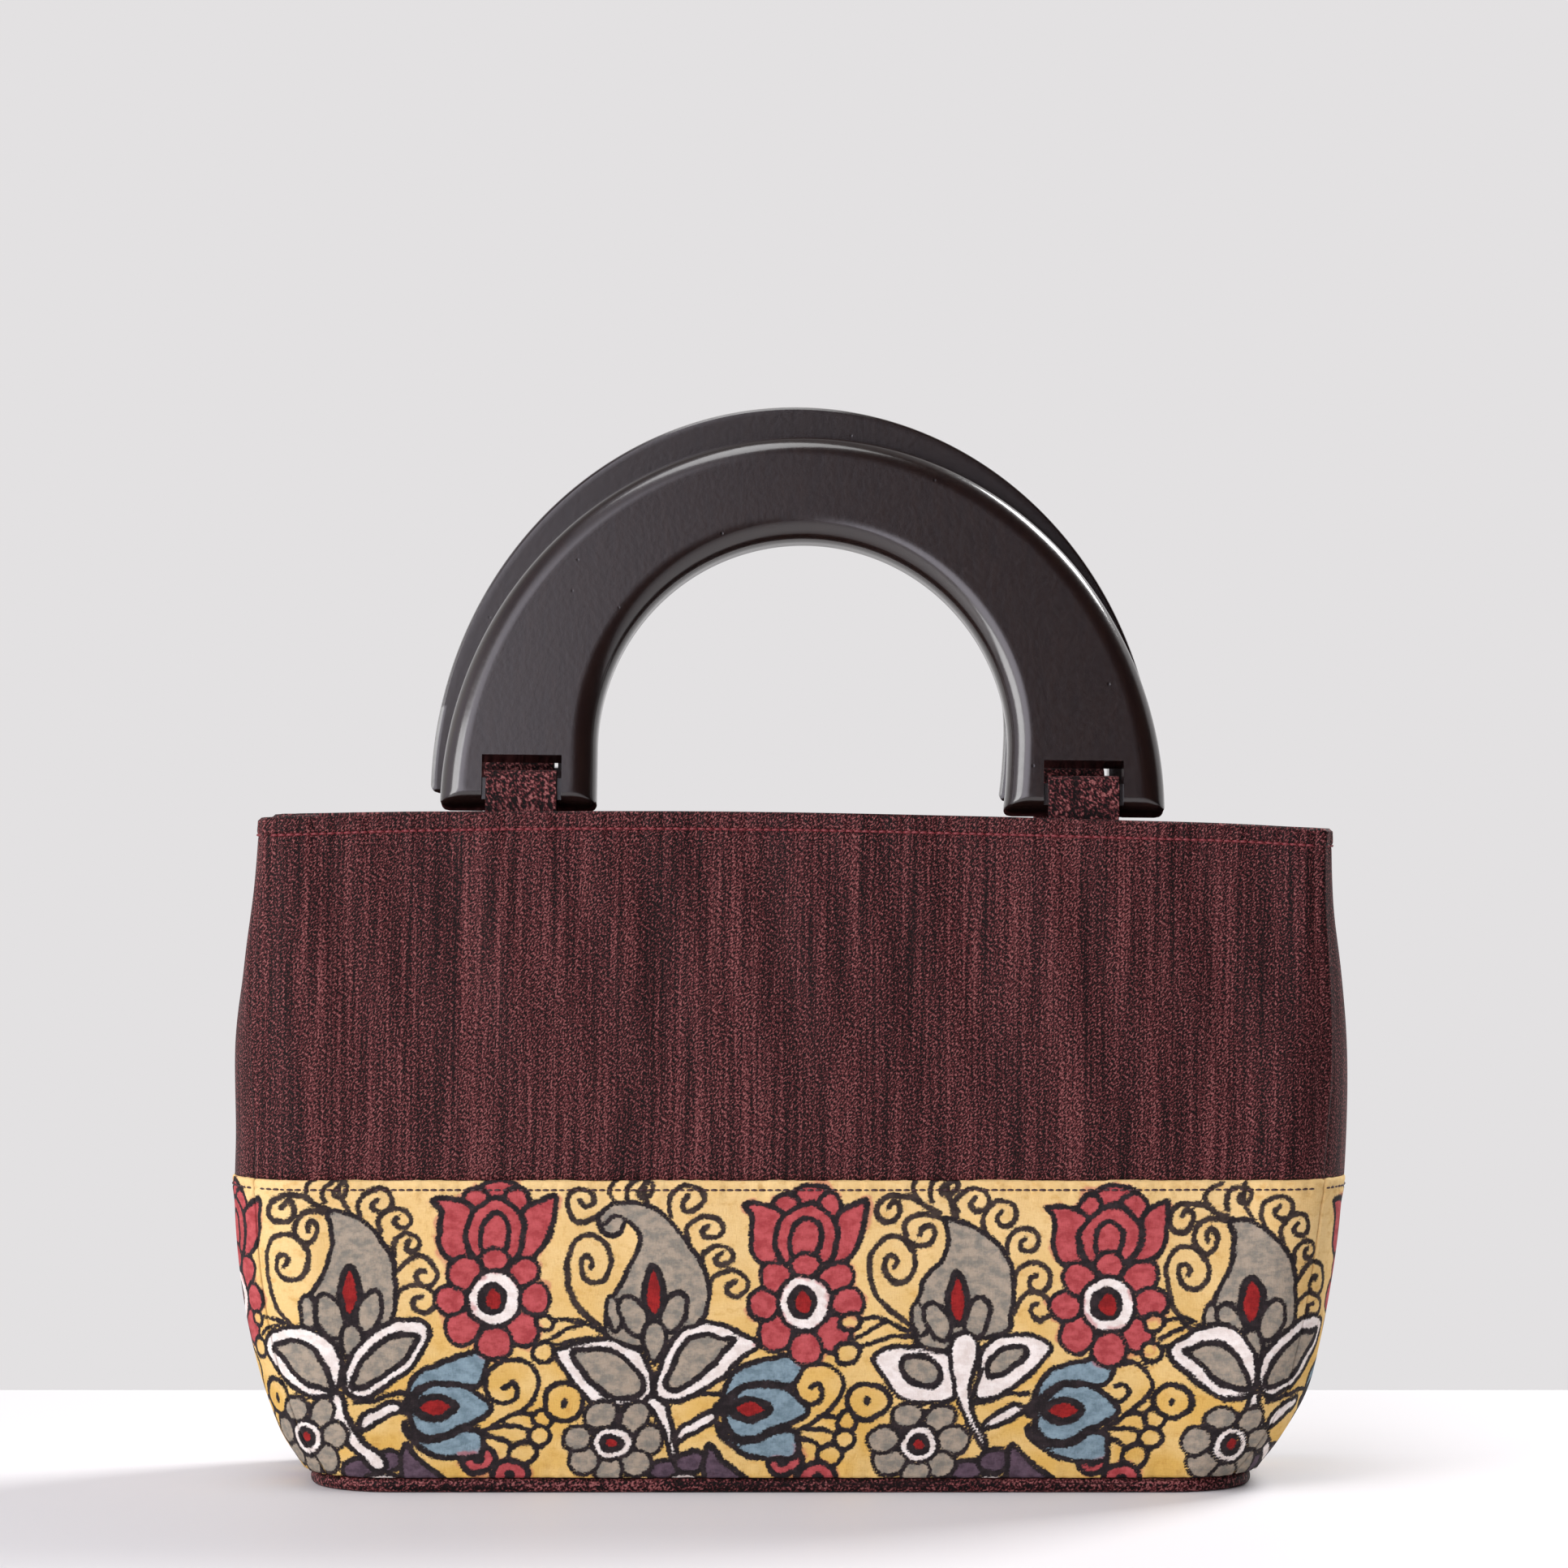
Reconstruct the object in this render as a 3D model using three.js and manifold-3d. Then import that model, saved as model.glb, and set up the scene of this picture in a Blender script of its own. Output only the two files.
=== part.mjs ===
import * as THREE from 'three';
import { mergeVertices } from 'three/addons/utils/BufferGeometryUtils.js';
import Module from 'manifold-3d';

const wasm = await Module();
wasm.setup();

// Silk handbag with two arched wooden handles, in millimetres, +Z up. The front faces -Y and
// the origin is on the floor under the middle of the bag.

// Body
const bagWidth = 305.2;
const baseLength = 262;
const rimWidth = 293.2;
const baseDepth = 75;
const rimDepth = 58;
const belly = 3;
const baseCorner = 24;
const rimCorner = 7;
const bodyHeight = 184.6;
const baseThickness = 4.1;
const baseLip = 0.6;
const baseInset = 1.7;
const baseEdge = 1.2;
const bandHeight = 81;
const rimDrop = 4.5;
const backRimDrop = 1.6;
const sideLean = 3.8;
const gussetTuck = 14;
const dentDepth = 2.2;

// Cloth
const wall = 2;
const hemDepth = 5;
const hemExtra = 0.8;
const seamGap = 0.3;

// Handles
const handleWidth = 198.8;
const backHandleWidth = 203;
const handleThickness = 12;
const frontHandleHeight = 105.3;
const backHandleHeight = 109.2;
const archBand = 29.7;
const footWidth = 43;
const innerSpring = 17.5;
const edgeRound = 3.4;
const footRound = 2;
const handleLift = 0.1;
const backHandleLift = 2.8;
const handleGap = 0.6;
const backLean = 1.2;
const frontRoll = -0.6;
const backRoll = -0.9;
const frontHandleShift = 3.1;
const backHandleShift = 0.9;

// Handle slots and straps
const slotWidth = 21.8;
const slotHeight = 6.2;
const barHeight = 7.6;
const slotFromEdge = 11.6;
const barRecess = 1.4;
const strapWidth = 19.4;
const strapThickness = 2.3;
const strapTail = 13;
const strapGap = 0.3;

// Sections of the body up its height, as shares of the sizes above. swell goes from baseLength
// to bagWidth, narrow from bagWidth to rimWidth, close from baseDepth to rimDepth, tighten from
// baseCorner to rimCorner.
const bodySections = [
  { height: 0.0, swell: 0.0, narrow: 0, close: 0.0, full: 0.0, tighten: 0.0, tuck: 0.0, lean: -0.75 },
  { height: 0.05, swell: 0.3, narrow: 0, close: 0.0, full: 0.45, tighten: 0.0, tuck: 0.0, lean: -0.6 },
  { height: 0.1, swell: 0.5, narrow: 0, close: 0.0, full: 0.75, tighten: 0.0, tuck: 0.0, lean: -0.4 },
  { height: 0.2, swell: 0.74, narrow: 0, close: 0.02, full: 1.0, tighten: 0.0, tuck: 0.0, lean: -0.38 },
  { height: 0.3, swell: 0.89, narrow: 0, close: 0.08, full: 1.0, tighten: 0.0, tuck: 0.0, lean: -0.33 },
  { height: 0.4, swell: 0.98, narrow: 0, close: 0.18, full: 0.9, tighten: 0.02, tuck: 0.02, lean: -0.2 },
  { height: 0.5, swell: 1.0, narrow: 0, close: 0.3, full: 0.75, tighten: 0.1, tuck: 0.08, lean: 0.0 },
  { height: 0.67, swell: 1.0, narrow: 0.04, close: 0.52, full: 0.45, tighten: 0.36, tuck: 0.25, lean: 0.05 },
  { height: 0.775, swell: 1.0, narrow: 0.36, close: 0.68, full: 0.3, tighten: 0.58, tuck: 0.45, lean: 0.12 },
  { height: 0.875, swell: 1.0, narrow: 0.78, close: 0.84, full: 0.15, tighten: 0.82, tuck: 0.72, lean: 0.2 },
  { height: 1.0, swell: 1.0, narrow: 1, close: 1.0, full: 0.0, tighten: 1.0, tuck: 1.0, lean: 0.3 },
];

// The rim's fall along the bag, from its left end at -1 to its right end at 1.
const rimSections = [
  { along: -1, drop: 0.35 },
  { along: -0.7, drop: 0.04 },
  { along: 0, drop: 0.0 },
  { along: 0.3, drop: 0.2 },
  { along: 0.6, drop: 0.46 },
  { along: 0.8, drop: 0.66 },
  { along: 1, drop: 1 },
];

// Shallow dents of the front and back cloth. along runs from -1 to 1 and height from 0 to 1,
// both spreads are shares of the same runs.
const frontDents = [
  { along: -0.72, height: 0.86, wide: 0.16, high: 0.4, depth: 0.5 },
  { along: -0.12, height: 0.98, wide: 0.26, high: 0.26, depth: 0.8 },
  { along: 0.34, height: 0.72, wide: 0.14, high: 0.4, depth: 0.4 },
  { along: 0.86, height: 0.7, wide: 0.2, high: 0.5, depth: 1 },
];
const backDents = [
  { along: -0.5, height: 0.8, wide: 0.2, high: 0.4, depth: 0.6 },
  { along: 0.1, height: 0.98, wide: 0.3, high: 0.26, depth: 0.8 },
  { along: 0.62, height: 0.78, wide: 0.18, high: 0.4, depth: 0.7 },
];

const cornerSteps = 3;
const frontSteps = 22;
const gussetSteps = 6;
const silkSteps = 9;
const bandSteps = 7;
const archSteps = 36;
const footSteps = 3;

const wallHeight = bodyHeight - baseThickness;
const bandShare = bandHeight / wallHeight;
const seamShare = seamGap / wallHeight;

// Value of one column at a place between the rows, with an eased step from row to row.
function columnAt(rows, key, column, place) {
  const last = rows.length - 1;
  let row = 0;
  while (row < last - 1 && place > rows[row + 1][key]) row += 1;
  const before = rows[Math.max(row - 1, 0)];
  const from = rows[row];
  const to = rows[row + 1];
  const after = rows[Math.min(row + 2, last)];
  const run = to[key] - from[key];
  const share = THREE.MathUtils.clamp((place - from[key]) / run, 0, 1);
  const slopeFrom = (to[column] - before[column]) / (to[key] - before[key]);
  const slopeTo = (after[column] - from[column]) / (after[key] - from[key]);
  const square = share * share;
  const cube = square * share;
  return (2 * cube - 3 * square + 1) * from[column]
    + (cube - 2 * square + share) * run * slopeFrom
    + (3 * square - 2 * cube) * to[column]
    + (cube - square) * run * slopeTo;
}

// Half length, half depth, corner radius, tuck and lean of the outer face at a share of height.
function sectionAt(height) {
  const at = (column) => columnAt(bodySections, 'height', column, height);
  const length = baseLength + (bagWidth - baseLength) * at('swell')
    - (bagWidth - rimWidth) * at('narrow');
  const depth = baseDepth + (rimDepth - baseDepth) * at('close') + 2 * belly * at('full');
  const corner = baseCorner + (rimCorner - baseCorner) * at('tighten');
  return {
    halfLength: length / 2,
    halfDepth: depth / 2,
    corner: Math.min(corner, depth / 2 - 1),
    tuck: gussetTuck * at('tuck'),
    lean: sideLean * at('lean'),
  };
}

// Level of a share of height, lowered toward the right end of the rim and, past the left end,
// toward the back. across runs from -1 at the front to 1 at the back.
function levelAt(height, along, across) {
  const toBack = THREE.MathUtils.smoothstep(across, -1, 1) * THREE.MathUtils.smoothstep(along, -1.3, -0.3);
  const drop = backRimDrop * toBack
    + rimDrop * columnAt(rimSections, 'along', 'drop', THREE.MathUtils.clamp(along, -1, 1));
  const weight = THREE.MathUtils.smoothstep(height, bandShare, 1);
  return baseThickness + height * wallHeight - drop * weight;
}

function dentAt(dents, along, height) {
  return dents.reduce((depth, dent) => {
    const reach = ((along - dent.along) / dent.wide) ** 2 + ((height - dent.height) / dent.high) ** 2;
    return depth + dentDepth * dent.depth * Math.exp(-reach);
  }, 0);
}

// A point of the front or back cloth. turn runs from one seam at -1 over the flat stretch to
// the other seam at 1, side is -1 at the front and 1 at the back.
function facePoint(turn, height, side) {
  const section = sectionAt(height);
  const flat = section.halfLength - section.corner;
  const step = turn * (frontSteps / 2 + cornerSteps);
  const over = Math.abs(step) - frontSteps / 2;
  let x = flat * THREE.MathUtils.clamp(step / (frontSteps / 2), -1, 1);
  let y = section.halfDepth;
  if (over > 0) {
    const angle = (over / cornerSteps) * (Math.PI / 4);
    x += Math.sign(step) * section.corner * Math.sin(angle);
    y -= section.corner * (1 - Math.cos(angle));
  }
  const along = x / section.halfLength;
  const across = side * y / section.halfDepth;
  const dents = side < 0 ? frontDents : backDents;
  const fade = THREE.MathUtils.smoothstep(1 - Math.abs(turn), 0, 0.2);
  y -= fade * dentAt(dents, along, height);
  return new THREE.Vector3(x + section.lean, side * y, levelAt(height, along, across));
}

// A point of a gusset's cloth, from the front seam at -1 round the end to the back seam at 1.
function gussetPoint(turn, height, side) {
  const section = sectionAt(height);
  const flat = section.halfDepth - section.corner;
  const step = turn * (gussetSteps / 2 + cornerSteps);
  const over = Math.abs(step) - gussetSteps / 2;
  let y = flat * THREE.MathUtils.clamp(step / (gussetSteps / 2), -1, 1);
  let x = section.halfLength;
  if (over > 0) {
    const angle = (over / cornerSteps) * (Math.PI / 4);
    y += Math.sign(step) * section.corner * Math.sin(angle);
    x -= section.corner * (1 - Math.cos(angle));
  }
  const along = side * x / section.halfLength;
  const across = y / section.halfDepth;
  const tuckTurn = THREE.MathUtils.clamp(y / flat, -1, 1);
  x -= section.tuck * Math.cos(tuckTurn * Math.PI / 2) ** 2;
  return new THREE.Vector3(side * x + section.lean, y, levelAt(height, along, across));
}

// Closed sheet between two share heights: an outer grid, an inner grid moved in along the
// cloth's normal, and the four edges. seamTrim keeps the sheet clear of its neighbour.
function clothSheet(pointAt, columns, rows, lower, upper, seamTrim, hemmed) {
  const outer = [];
  const inner = [];
  const small = 0.002;
  for (let row = 0; row <= rows; row += 1) {
    for (let column = 0; column <= columns; column += 1) {
      const turn = (1 - seamTrim) * (2 * column / columns - 1);
      const height = lower + (upper - lower) * row / rows;
      const point = pointAt(turn, height);
      const across = pointAt(turn + small, height).sub(pointAt(turn - small, height));
      const up = pointAt(turn, height + small).sub(pointAt(turn, height - small));
      const outward = new THREE.Vector3().crossVectors(across, up).setZ(0).normalize();
      const fromRim = (upper - height) * wallHeight;
      const thickness = wall + (hemmed && fromRim < hemDepth ? hemExtra : 0);
      outer.push(point);
      inner.push(point.clone().addScaledVector(outward, -thickness));
    }
  }
  const corners = [...outer, ...inner];
  const shift = outer.length;
  const width = columns + 1;
  const faces = [];
  const quad = (a, b, c, d) => faces.push(a, b, c, a, c, d);
  for (let row = 0; row < rows; row += 1) {
    for (let column = 0; column < columns; column += 1) {
      const at = row * width + column;
      quad(at, at + 1, at + width + 1, at + width);
      quad(shift + at, shift + at + width, shift + at + width + 1, shift + at + 1);
    }
  }
  for (let column = 0; column < columns; column += 1) {
    const top = rows * width + column;
    quad(column, shift + column, shift + column + 1, column + 1);
    quad(top, top + 1, shift + top + 1, shift + top);
  }
  for (let row = 0; row < rows; row += 1) {
    const left = row * width;
    const right = left + columns;
    quad(left, left + width, shift + left + width, shift + left);
    quad(right, shift + right, shift + right + width, right + width);
  }
  const geometry = new THREE.BufferGeometry();
  geometry.setAttribute('position', new THREE.BufferAttribute(
    new Float32Array(corners.flatMap((corner) => corner.toArray())), 3));
  geometry.setIndex(faces);
  geometry.computeVertexNormals();
  return geometry;
}

function toSolid(geometry) {
  const bare = geometry.clone();
  bare.deleteAttribute('normal');
  bare.deleteAttribute('uv');
  const merged = mergeVertices(bare, 1e-4);
  return new wasm.Manifold(new wasm.Mesh({
    numProp: 3,
    vertProperties: new Float32Array(merged.attributes.position.array),
    triVerts: new Uint32Array(merged.index.array),
  }));
}

function fromSolid(solid) {
  const mesh = solid.getMesh();
  const geometry = new THREE.BufferGeometry();
  geometry.setAttribute('position', new THREE.BufferAttribute(mesh.vertProperties, 3));
  geometry.setIndex(new THREE.BufferAttribute(mesh.triVerts, 1));
  geometry.computeVertexNormals();
  return geometry;
}

// Stiffened base: the plan outline of the wall's foot, a lip deeper and a little shorter, with a
// small round edge.
function baseGeometry() {
  const section = sectionAt(0);
  const halfLength = section.halfLength - baseInset - baseEdge;
  const halfDepth = section.halfDepth + baseLip - baseEdge;
  const corner = section.corner;
  const plan = new THREE.Shape();
  plan.moveTo(-halfLength + corner, -halfDepth);
  plan.lineTo(halfLength - corner, -halfDepth);
  plan.absarc(halfLength - corner, -halfDepth + corner, corner, -Math.PI / 2, 0);
  plan.lineTo(halfLength, halfDepth - corner);
  plan.absarc(halfLength - corner, halfDepth - corner, corner, 0, Math.PI / 2);
  plan.lineTo(-halfLength + corner, halfDepth);
  plan.absarc(-halfLength + corner, halfDepth - corner, corner, Math.PI / 2, Math.PI);
  plan.lineTo(-halfLength, -halfDepth + corner);
  plan.absarc(-halfLength + corner, -halfDepth + corner, corner, Math.PI, 3 * Math.PI / 2);
  const geometry = new THREE.ExtrudeGeometry(plan, {
    depth: baseThickness - seamGap - 2 * baseEdge,
    bevelThickness: baseEdge,
    bevelSize: baseEdge,
    bevelSegments: 2,
    curveSegments: 8,
  });
  geometry.translate(section.lean, 0, baseEdge);
  return geometry;
}

// Arched handle in its own plane, standing on its feet at z = 0, centred at x = 0 and y = 0.
function handleGeometry(width, height) {
  const inset = edgeRound;
  const outerHalf = width / 2 - inset;
  const innerHalf = width / 2 - footWidth + inset;
  const outerTop = height - inset;
  const innerTop = height - archBand + inset;
  const outline = new THREE.Shape();
  const round = footRound;
  const spring = Math.asin((inset + round) / outerTop);
  const footEdge = outerHalf * Math.cos(spring);
  outline.moveTo(-footEdge, inset + round);
  for (let step = 1; step < archSteps; step += 1) {
    const angle = Math.PI - spring - (Math.PI - 2 * spring) * step / archSteps;
    outline.lineTo(outerHalf * Math.cos(angle), outerTop * Math.sin(angle));
  }
  outline.lineTo(footEdge, inset + round);
  outline.quadraticCurveTo(footEdge, inset, footEdge - round, inset);
  outline.lineTo(innerHalf + round, inset);
  outline.quadraticCurveTo(innerHalf, inset, innerHalf, inset + round);
  outline.lineTo(innerHalf, innerSpring);
  for (let step = 1; step < archSteps; step += 1) {
    const angle = Math.PI * step / archSteps;
    const rise = (innerTop - innerSpring) * Math.sin(angle);
    outline.lineTo(innerHalf * Math.cos(angle), innerSpring + rise);
  }
  outline.lineTo(-innerHalf, innerSpring);
  outline.lineTo(-innerHalf, inset + round);
  outline.quadraticCurveTo(-innerHalf, inset, -innerHalf - round, inset);
  outline.lineTo(-footEdge + round, inset);
  outline.quadraticCurveTo(-footEdge, inset, -footEdge, inset + round);
  const blank = new THREE.ExtrudeGeometry(outline, {
    depth: handleThickness - 2 * edgeRound,
    bevelThickness: edgeRound,
    bevelSize: edgeRound,
    bevelSegments: 3,
    curveSegments: footSteps,
  });
  blank.rotateX(Math.PI / 2);
  blank.translate(0, handleThickness / 2 - edgeRound, 0);
  let solid = toSolid(blank);
  for (const side of [-1, 1]) {
    const slotCentre = side * (handleWidth / 2 - slotFromEdge - slotWidth / 2);
    const slot = new THREE.BoxGeometry(slotWidth, 2 * handleThickness, slotHeight);
    slot.translate(slotCentre, 0, barHeight + slotHeight / 2);
    solid = solid.subtract(toSolid(slot));
    for (const face of [-1, 1]) {
      const recessHeight = barHeight + slotHeight / 2 + strapThickness;
      const recess = new THREE.BoxGeometry(slotWidth, 2 * barRecess, recessHeight);
      const recessZ = barHeight + slotHeight / 2 - recessHeight / 2;
      recess.translate(slotCentre, face * handleThickness / 2, recessZ);
      solid = solid.subtract(toSolid(recess));
    }
  }
  return fromSolid(solid);
}

// Strap of one handle foot, seen along X in the bag's own axes: it hugs the foot's bar with a
// gap, and both layers go down together inside the rim. lean is the handle's lean in radians.
function strapGeometry(planeY, footZ, lean, faceSide, insideY) {
  const barHalf = handleThickness / 2 - barRecess;
  const near = barHalf + strapGap;
  const far = near + strapThickness;
  const tilt = (y, z) => new THREE.Vector2(
    planeY + y * Math.cos(lean) + z * Math.sin(lean),
    footZ + z * Math.cos(lean) - y * Math.sin(lean));
  const top = barHeight + strapGap;
  const outerArc = [tilt(-far, 0)];
  for (let step = 0; step <= 8; step += 1) {
    const angle = Math.PI - Math.PI * step / 8;
    outerArc.push(tilt(far * Math.cos(angle), top - strapGap + (strapThickness + strapGap) * Math.sin(angle)));
  }
  outerArc.push(tilt(far, 0));
  const inner = [tilt(-near, -strapGap), tilt(-near, top), tilt(near, top), tilt(near, -strapGap)];
  const tailOuter = insideY;
  const tailInner = insideY - faceSide * 2 * strapThickness;
  const low = Math.min(tailOuter, tailInner);
  const high = Math.max(tailOuter, tailInner);
  const bend = bodyHeight - 4 * strapThickness;
  const outline = new THREE.Shape([
    ...outerArc,
    new THREE.Vector2(high, bend),
    new THREE.Vector2(high, bodyHeight - strapTail),
    new THREE.Vector2(low, bodyHeight - strapTail),
    new THREE.Vector2(low, bend),
  ].reverse());
  const meet = new THREE.Vector2((low + high) / 2, bend + strapThickness);
  outline.holes.push(new THREE.Path([...inner, meet]));
  const geometry = new THREE.ExtrudeGeometry(outline, { depth: strapWidth, bevelEnabled: false });
  const toBag = new THREE.Matrix4().makeBasis(
    new THREE.Vector3(0, 1, 0), new THREE.Vector3(0, 0, 1), new THREE.Vector3(1, 0, 0));
  geometry.applyMatrix4(toBag);
  geometry.translate(-strapWidth / 2, 0, 0);
  return geometry;
}

const silkMaterial = () => new THREE.MeshStandardMaterial({ color: 0x4e2c30, roughness: 0.55 });
const printMaterial = () => new THREE.MeshStandardMaterial({ color: 0xc2a46a, roughness: 0.85 });
const woodMaterial = () => new THREE.MeshStandardMaterial({ color: 0x241a1e, roughness: 0.22 });

const bag = new THREE.Group();

function addPiece(name, geometry, material) {
  const mesh = new THREE.Mesh(geometry, material);
  mesh.name = name;
  bag.add(mesh);
  return mesh;
}

// Front and back cloth: silk above, printed band below, joined at the gusset seams.
const faceColumns = frontSteps + 2 * cornerSteps;
const gussetColumns = gussetSteps + 2 * cornerSteps;
const faceTrim = seamGap / 2 / (bagWidth / 2);
const gussetTrim = seamGap / 2 / (rimDepth / 2);
for (const [name, side] of [['front', -1], ['back', 1]]) {
  const pointAt = (turn, height) => facePoint(-side * turn, height, side);
  addPiece(`${name}_silk_panel`, clothSheet(
    pointAt, faceColumns, silkSteps, bandShare + seamShare / 2, 1, faceTrim, true), silkMaterial());
  addPiece(`${name}_printed_band`, clothSheet(
    pointAt, faceColumns, bandSteps, 0, bandShare - seamShare / 2, faceTrim, false), printMaterial());
}
for (const [name, side] of [['left', -1], ['right', 1]]) {
  const pointAt = (turn, height) => gussetPoint(side * turn, height, side);
  addPiece(`${name}_gusset_silk`, clothSheet(
    pointAt, gussetColumns, silkSteps, bandShare + seamShare / 2, 1, gussetTrim, true), silkMaterial());
  addPiece(`${name}_gusset_band`, clothSheet(
    pointAt, gussetColumns, bandSteps, 0, bandShare - seamShare / 2, gussetTrim, false), printMaterial());
}
addPiece('base_panel', baseGeometry(), silkMaterial());

// Where a strap goes down inside the hem: the deepest line of the cloth across the strap.
const slotReach = handleWidth / 2 - slotFromEdge - slotWidth / 2;
function insideHem(side, shift) {
  const lines = [];
  for (const foot of [-1, 1]) {
    for (const edge of [-1, -0.5, 0, 0.5, 1]) {
      const x = shift + foot * slotReach + edge * strapWidth / 2;
      lines.push(Math.abs(facePoint(x / (rimWidth / 2), 1, side).y));
    }
  }
  return side * (Math.min(...lines) - wall - hemExtra - seamGap);
}

// Handles stand over the rim, and the front one leans back until it meets the back one.
const strapReach = handleThickness / 2 - barRecess + strapGap + strapThickness;
const frontPlane = insideHem(-1, frontHandleShift) + strapReach;
const backPlane = insideHem(1, backHandleShift) - strapReach;
const backTop = backPlane - frontHandleHeight * Math.sin(THREE.MathUtils.degToRad(backLean));
const topRun = backTop - frontPlane - handleThickness - handleGap;
const frontLean = Math.asin(topRun / (frontHandleHeight - edgeRound));
const handles = [
  { name: 'front', side: -1, width: handleWidth, height: frontHandleHeight, plane: frontPlane,
    lean: frontLean, roll: frontRoll, shift: frontHandleShift, lift: handleLift },
  { name: 'back', side: 1, width: backHandleWidth, height: backHandleHeight, plane: backPlane,
    lean: -THREE.MathUtils.degToRad(backLean), roll: backRoll, shift: backHandleShift,
    lift: backHandleLift },
];
for (const handle of handles) {
  const roll = THREE.MathUtils.degToRad(handle.roll);
  const footZ = bodyHeight + handle.lift;
  const pose = new THREE.Group();
  pose.position.set(handle.shift, handle.plane, footZ);
  pose.rotation.set(-handle.lean, -roll, 0, 'XYZ');
  const wood = new THREE.Mesh(handleGeometry(handle.width, handle.height), woodMaterial());
  wood.name = `${handle.name}_handle`;
  pose.add(wood);
  bag.add(pose);
  for (const [name, foot] of [['left', -1], ['right', 1]]) {
    const strapZ = footZ + foot * slotReach * Math.sin(roll);
    const strap = addPiece(`${handle.name}_${name}_strap`, strapGeometry(
      handle.plane, strapZ, handle.lean, handle.side, insideHem(handle.side, handle.shift)),
    silkMaterial());
    strap.position.x = handle.shift + foot * slotReach;
  }
}

export default bag;
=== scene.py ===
import math

import bpy
import numpy as np
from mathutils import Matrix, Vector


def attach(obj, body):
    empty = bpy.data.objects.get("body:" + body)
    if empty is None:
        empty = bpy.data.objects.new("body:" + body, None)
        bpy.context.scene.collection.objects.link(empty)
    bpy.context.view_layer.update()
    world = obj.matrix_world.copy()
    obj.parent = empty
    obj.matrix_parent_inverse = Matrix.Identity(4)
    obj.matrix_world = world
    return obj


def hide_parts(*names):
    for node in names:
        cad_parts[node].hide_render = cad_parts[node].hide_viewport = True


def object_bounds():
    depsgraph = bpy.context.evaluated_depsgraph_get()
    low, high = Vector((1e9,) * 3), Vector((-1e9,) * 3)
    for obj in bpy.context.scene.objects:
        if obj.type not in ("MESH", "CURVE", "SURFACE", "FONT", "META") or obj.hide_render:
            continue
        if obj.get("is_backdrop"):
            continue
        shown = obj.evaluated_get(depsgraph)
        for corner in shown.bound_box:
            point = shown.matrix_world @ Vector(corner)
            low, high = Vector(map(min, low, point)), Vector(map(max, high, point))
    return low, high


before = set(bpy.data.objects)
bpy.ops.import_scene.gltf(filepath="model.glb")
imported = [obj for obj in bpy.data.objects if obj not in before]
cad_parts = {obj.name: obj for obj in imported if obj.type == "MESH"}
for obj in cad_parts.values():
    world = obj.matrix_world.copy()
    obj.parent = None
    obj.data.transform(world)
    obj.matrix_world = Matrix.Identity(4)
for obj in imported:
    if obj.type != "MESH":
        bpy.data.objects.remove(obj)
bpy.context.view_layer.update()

# Camera at the photograph's angle: a long lens a little above the rim, looking level along +Y
# from 1.64 m, aimed down by about a degree.
MM = 0.001
camera_data = bpy.data.cameras.new("long_lens")
camera_data.sensor_width = 36
camera_data.lens = 135.6
camera = bpy.data.objects.new("camera", camera_data)
camera.location = (-1.9 * MM, -1637 * MM, 228 * MM)
camera.rotation_euler = (math.radians(90 - 1.27), 0, 0)
bpy.context.collection.objects.link(camera)
bpy.context.scene.camera = camera
bpy.context.scene.view_settings.view_transform = "Standard"


# Studio: a plain pale table top, soft light from the front left, and a harder light from the
# back right that throws the bag's shadow towards the viewer's left.
def linear(hex_colour, alpha=1.0):
    parts = [int(hex_colour[at:at + 2], 16) / 255 for at in (1, 3, 5)]
    shares = [part / 12.92 if part <= 0.04045 else ((part + 0.055) / 1.055) ** 2.4 for part in parts]
    return (*shares, alpha)


def node(tree, kind, links=None, **settings):
    """Add one node with its settings, and link or set its inputs."""
    new = tree.nodes.new(kind)
    for key, value in settings.items():
        setattr(new, key, value)
    for socket, value in (links or {}).items():
        if isinstance(value, bpy.types.NodeSocket):
            tree.links.new(value, new.inputs[socket])
        else:
            new.inputs[socket].default_value = value
    return new


def surface_material(name):
    material = bpy.data.materials.new(name)
    material.use_nodes = True
    tree = material.node_tree
    return material, tree, tree.nodes["Principled BSDF"]


bpy.ops.object.select_all(action="DESELECT")
bpy.ops.mesh.primitive_plane_add(size=1)
table = bpy.context.object
table.name = "table_top"
table.scale = (4, 3, 1)
TABLE_BACK = 186 * MM
table.location = (0, TABLE_BACK - 1.5, 0)
bpy.ops.object.transform_apply(location=True, rotation=False, scale=True)
painted_board, tree, shader = surface_material("painted_board")
shader.inputs["Base Color"].default_value = linear("#e6e4e5")
shader.inputs["Roughness"].default_value = 0.6
table.data.materials.append(painted_board)
table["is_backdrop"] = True

for name, place, size, power, aim in (
        ("back_right_light", (0.95, 0.75, 1.25), 0.5, 24.0, (0.0, 0.0, 0.1)),
        ("front_left_light", (-0.8, -0.75, 0.42), 0.6, 7.0, (-0.05, 0.0, 0.12)),
        ("top_light", (-0.2, -0.2, 1.7), 0.8, 8.0, (0.0, 0.0, 0.1))):
    lamp_data = bpy.data.lights.new(name, "AREA")
    lamp_data.size = size
    lamp_data.energy = power
    lamp = bpy.data.objects.new(name, lamp_data)
    lamp.location = place
    direction = np.array(aim) - np.array(place)
    flat = math.hypot(direction[0], direction[1])
    heading = math.atan2(direction[1], direction[0]) - math.pi / 2
    lamp.rotation_euler = (math.atan2(flat, -direction[2]), 0, heading)
    bpy.context.collection.objects.link(lamp)

world = bpy.data.worlds.new("studio_walls")
world.use_nodes = True
bpy.context.scene.world = world
tree = world.node_tree
way = node(tree, "ShaderNodeTexCoord").outputs["Generated"]
split = node(tree, "ShaderNodeSeparateXYZ", {0: way})
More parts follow.
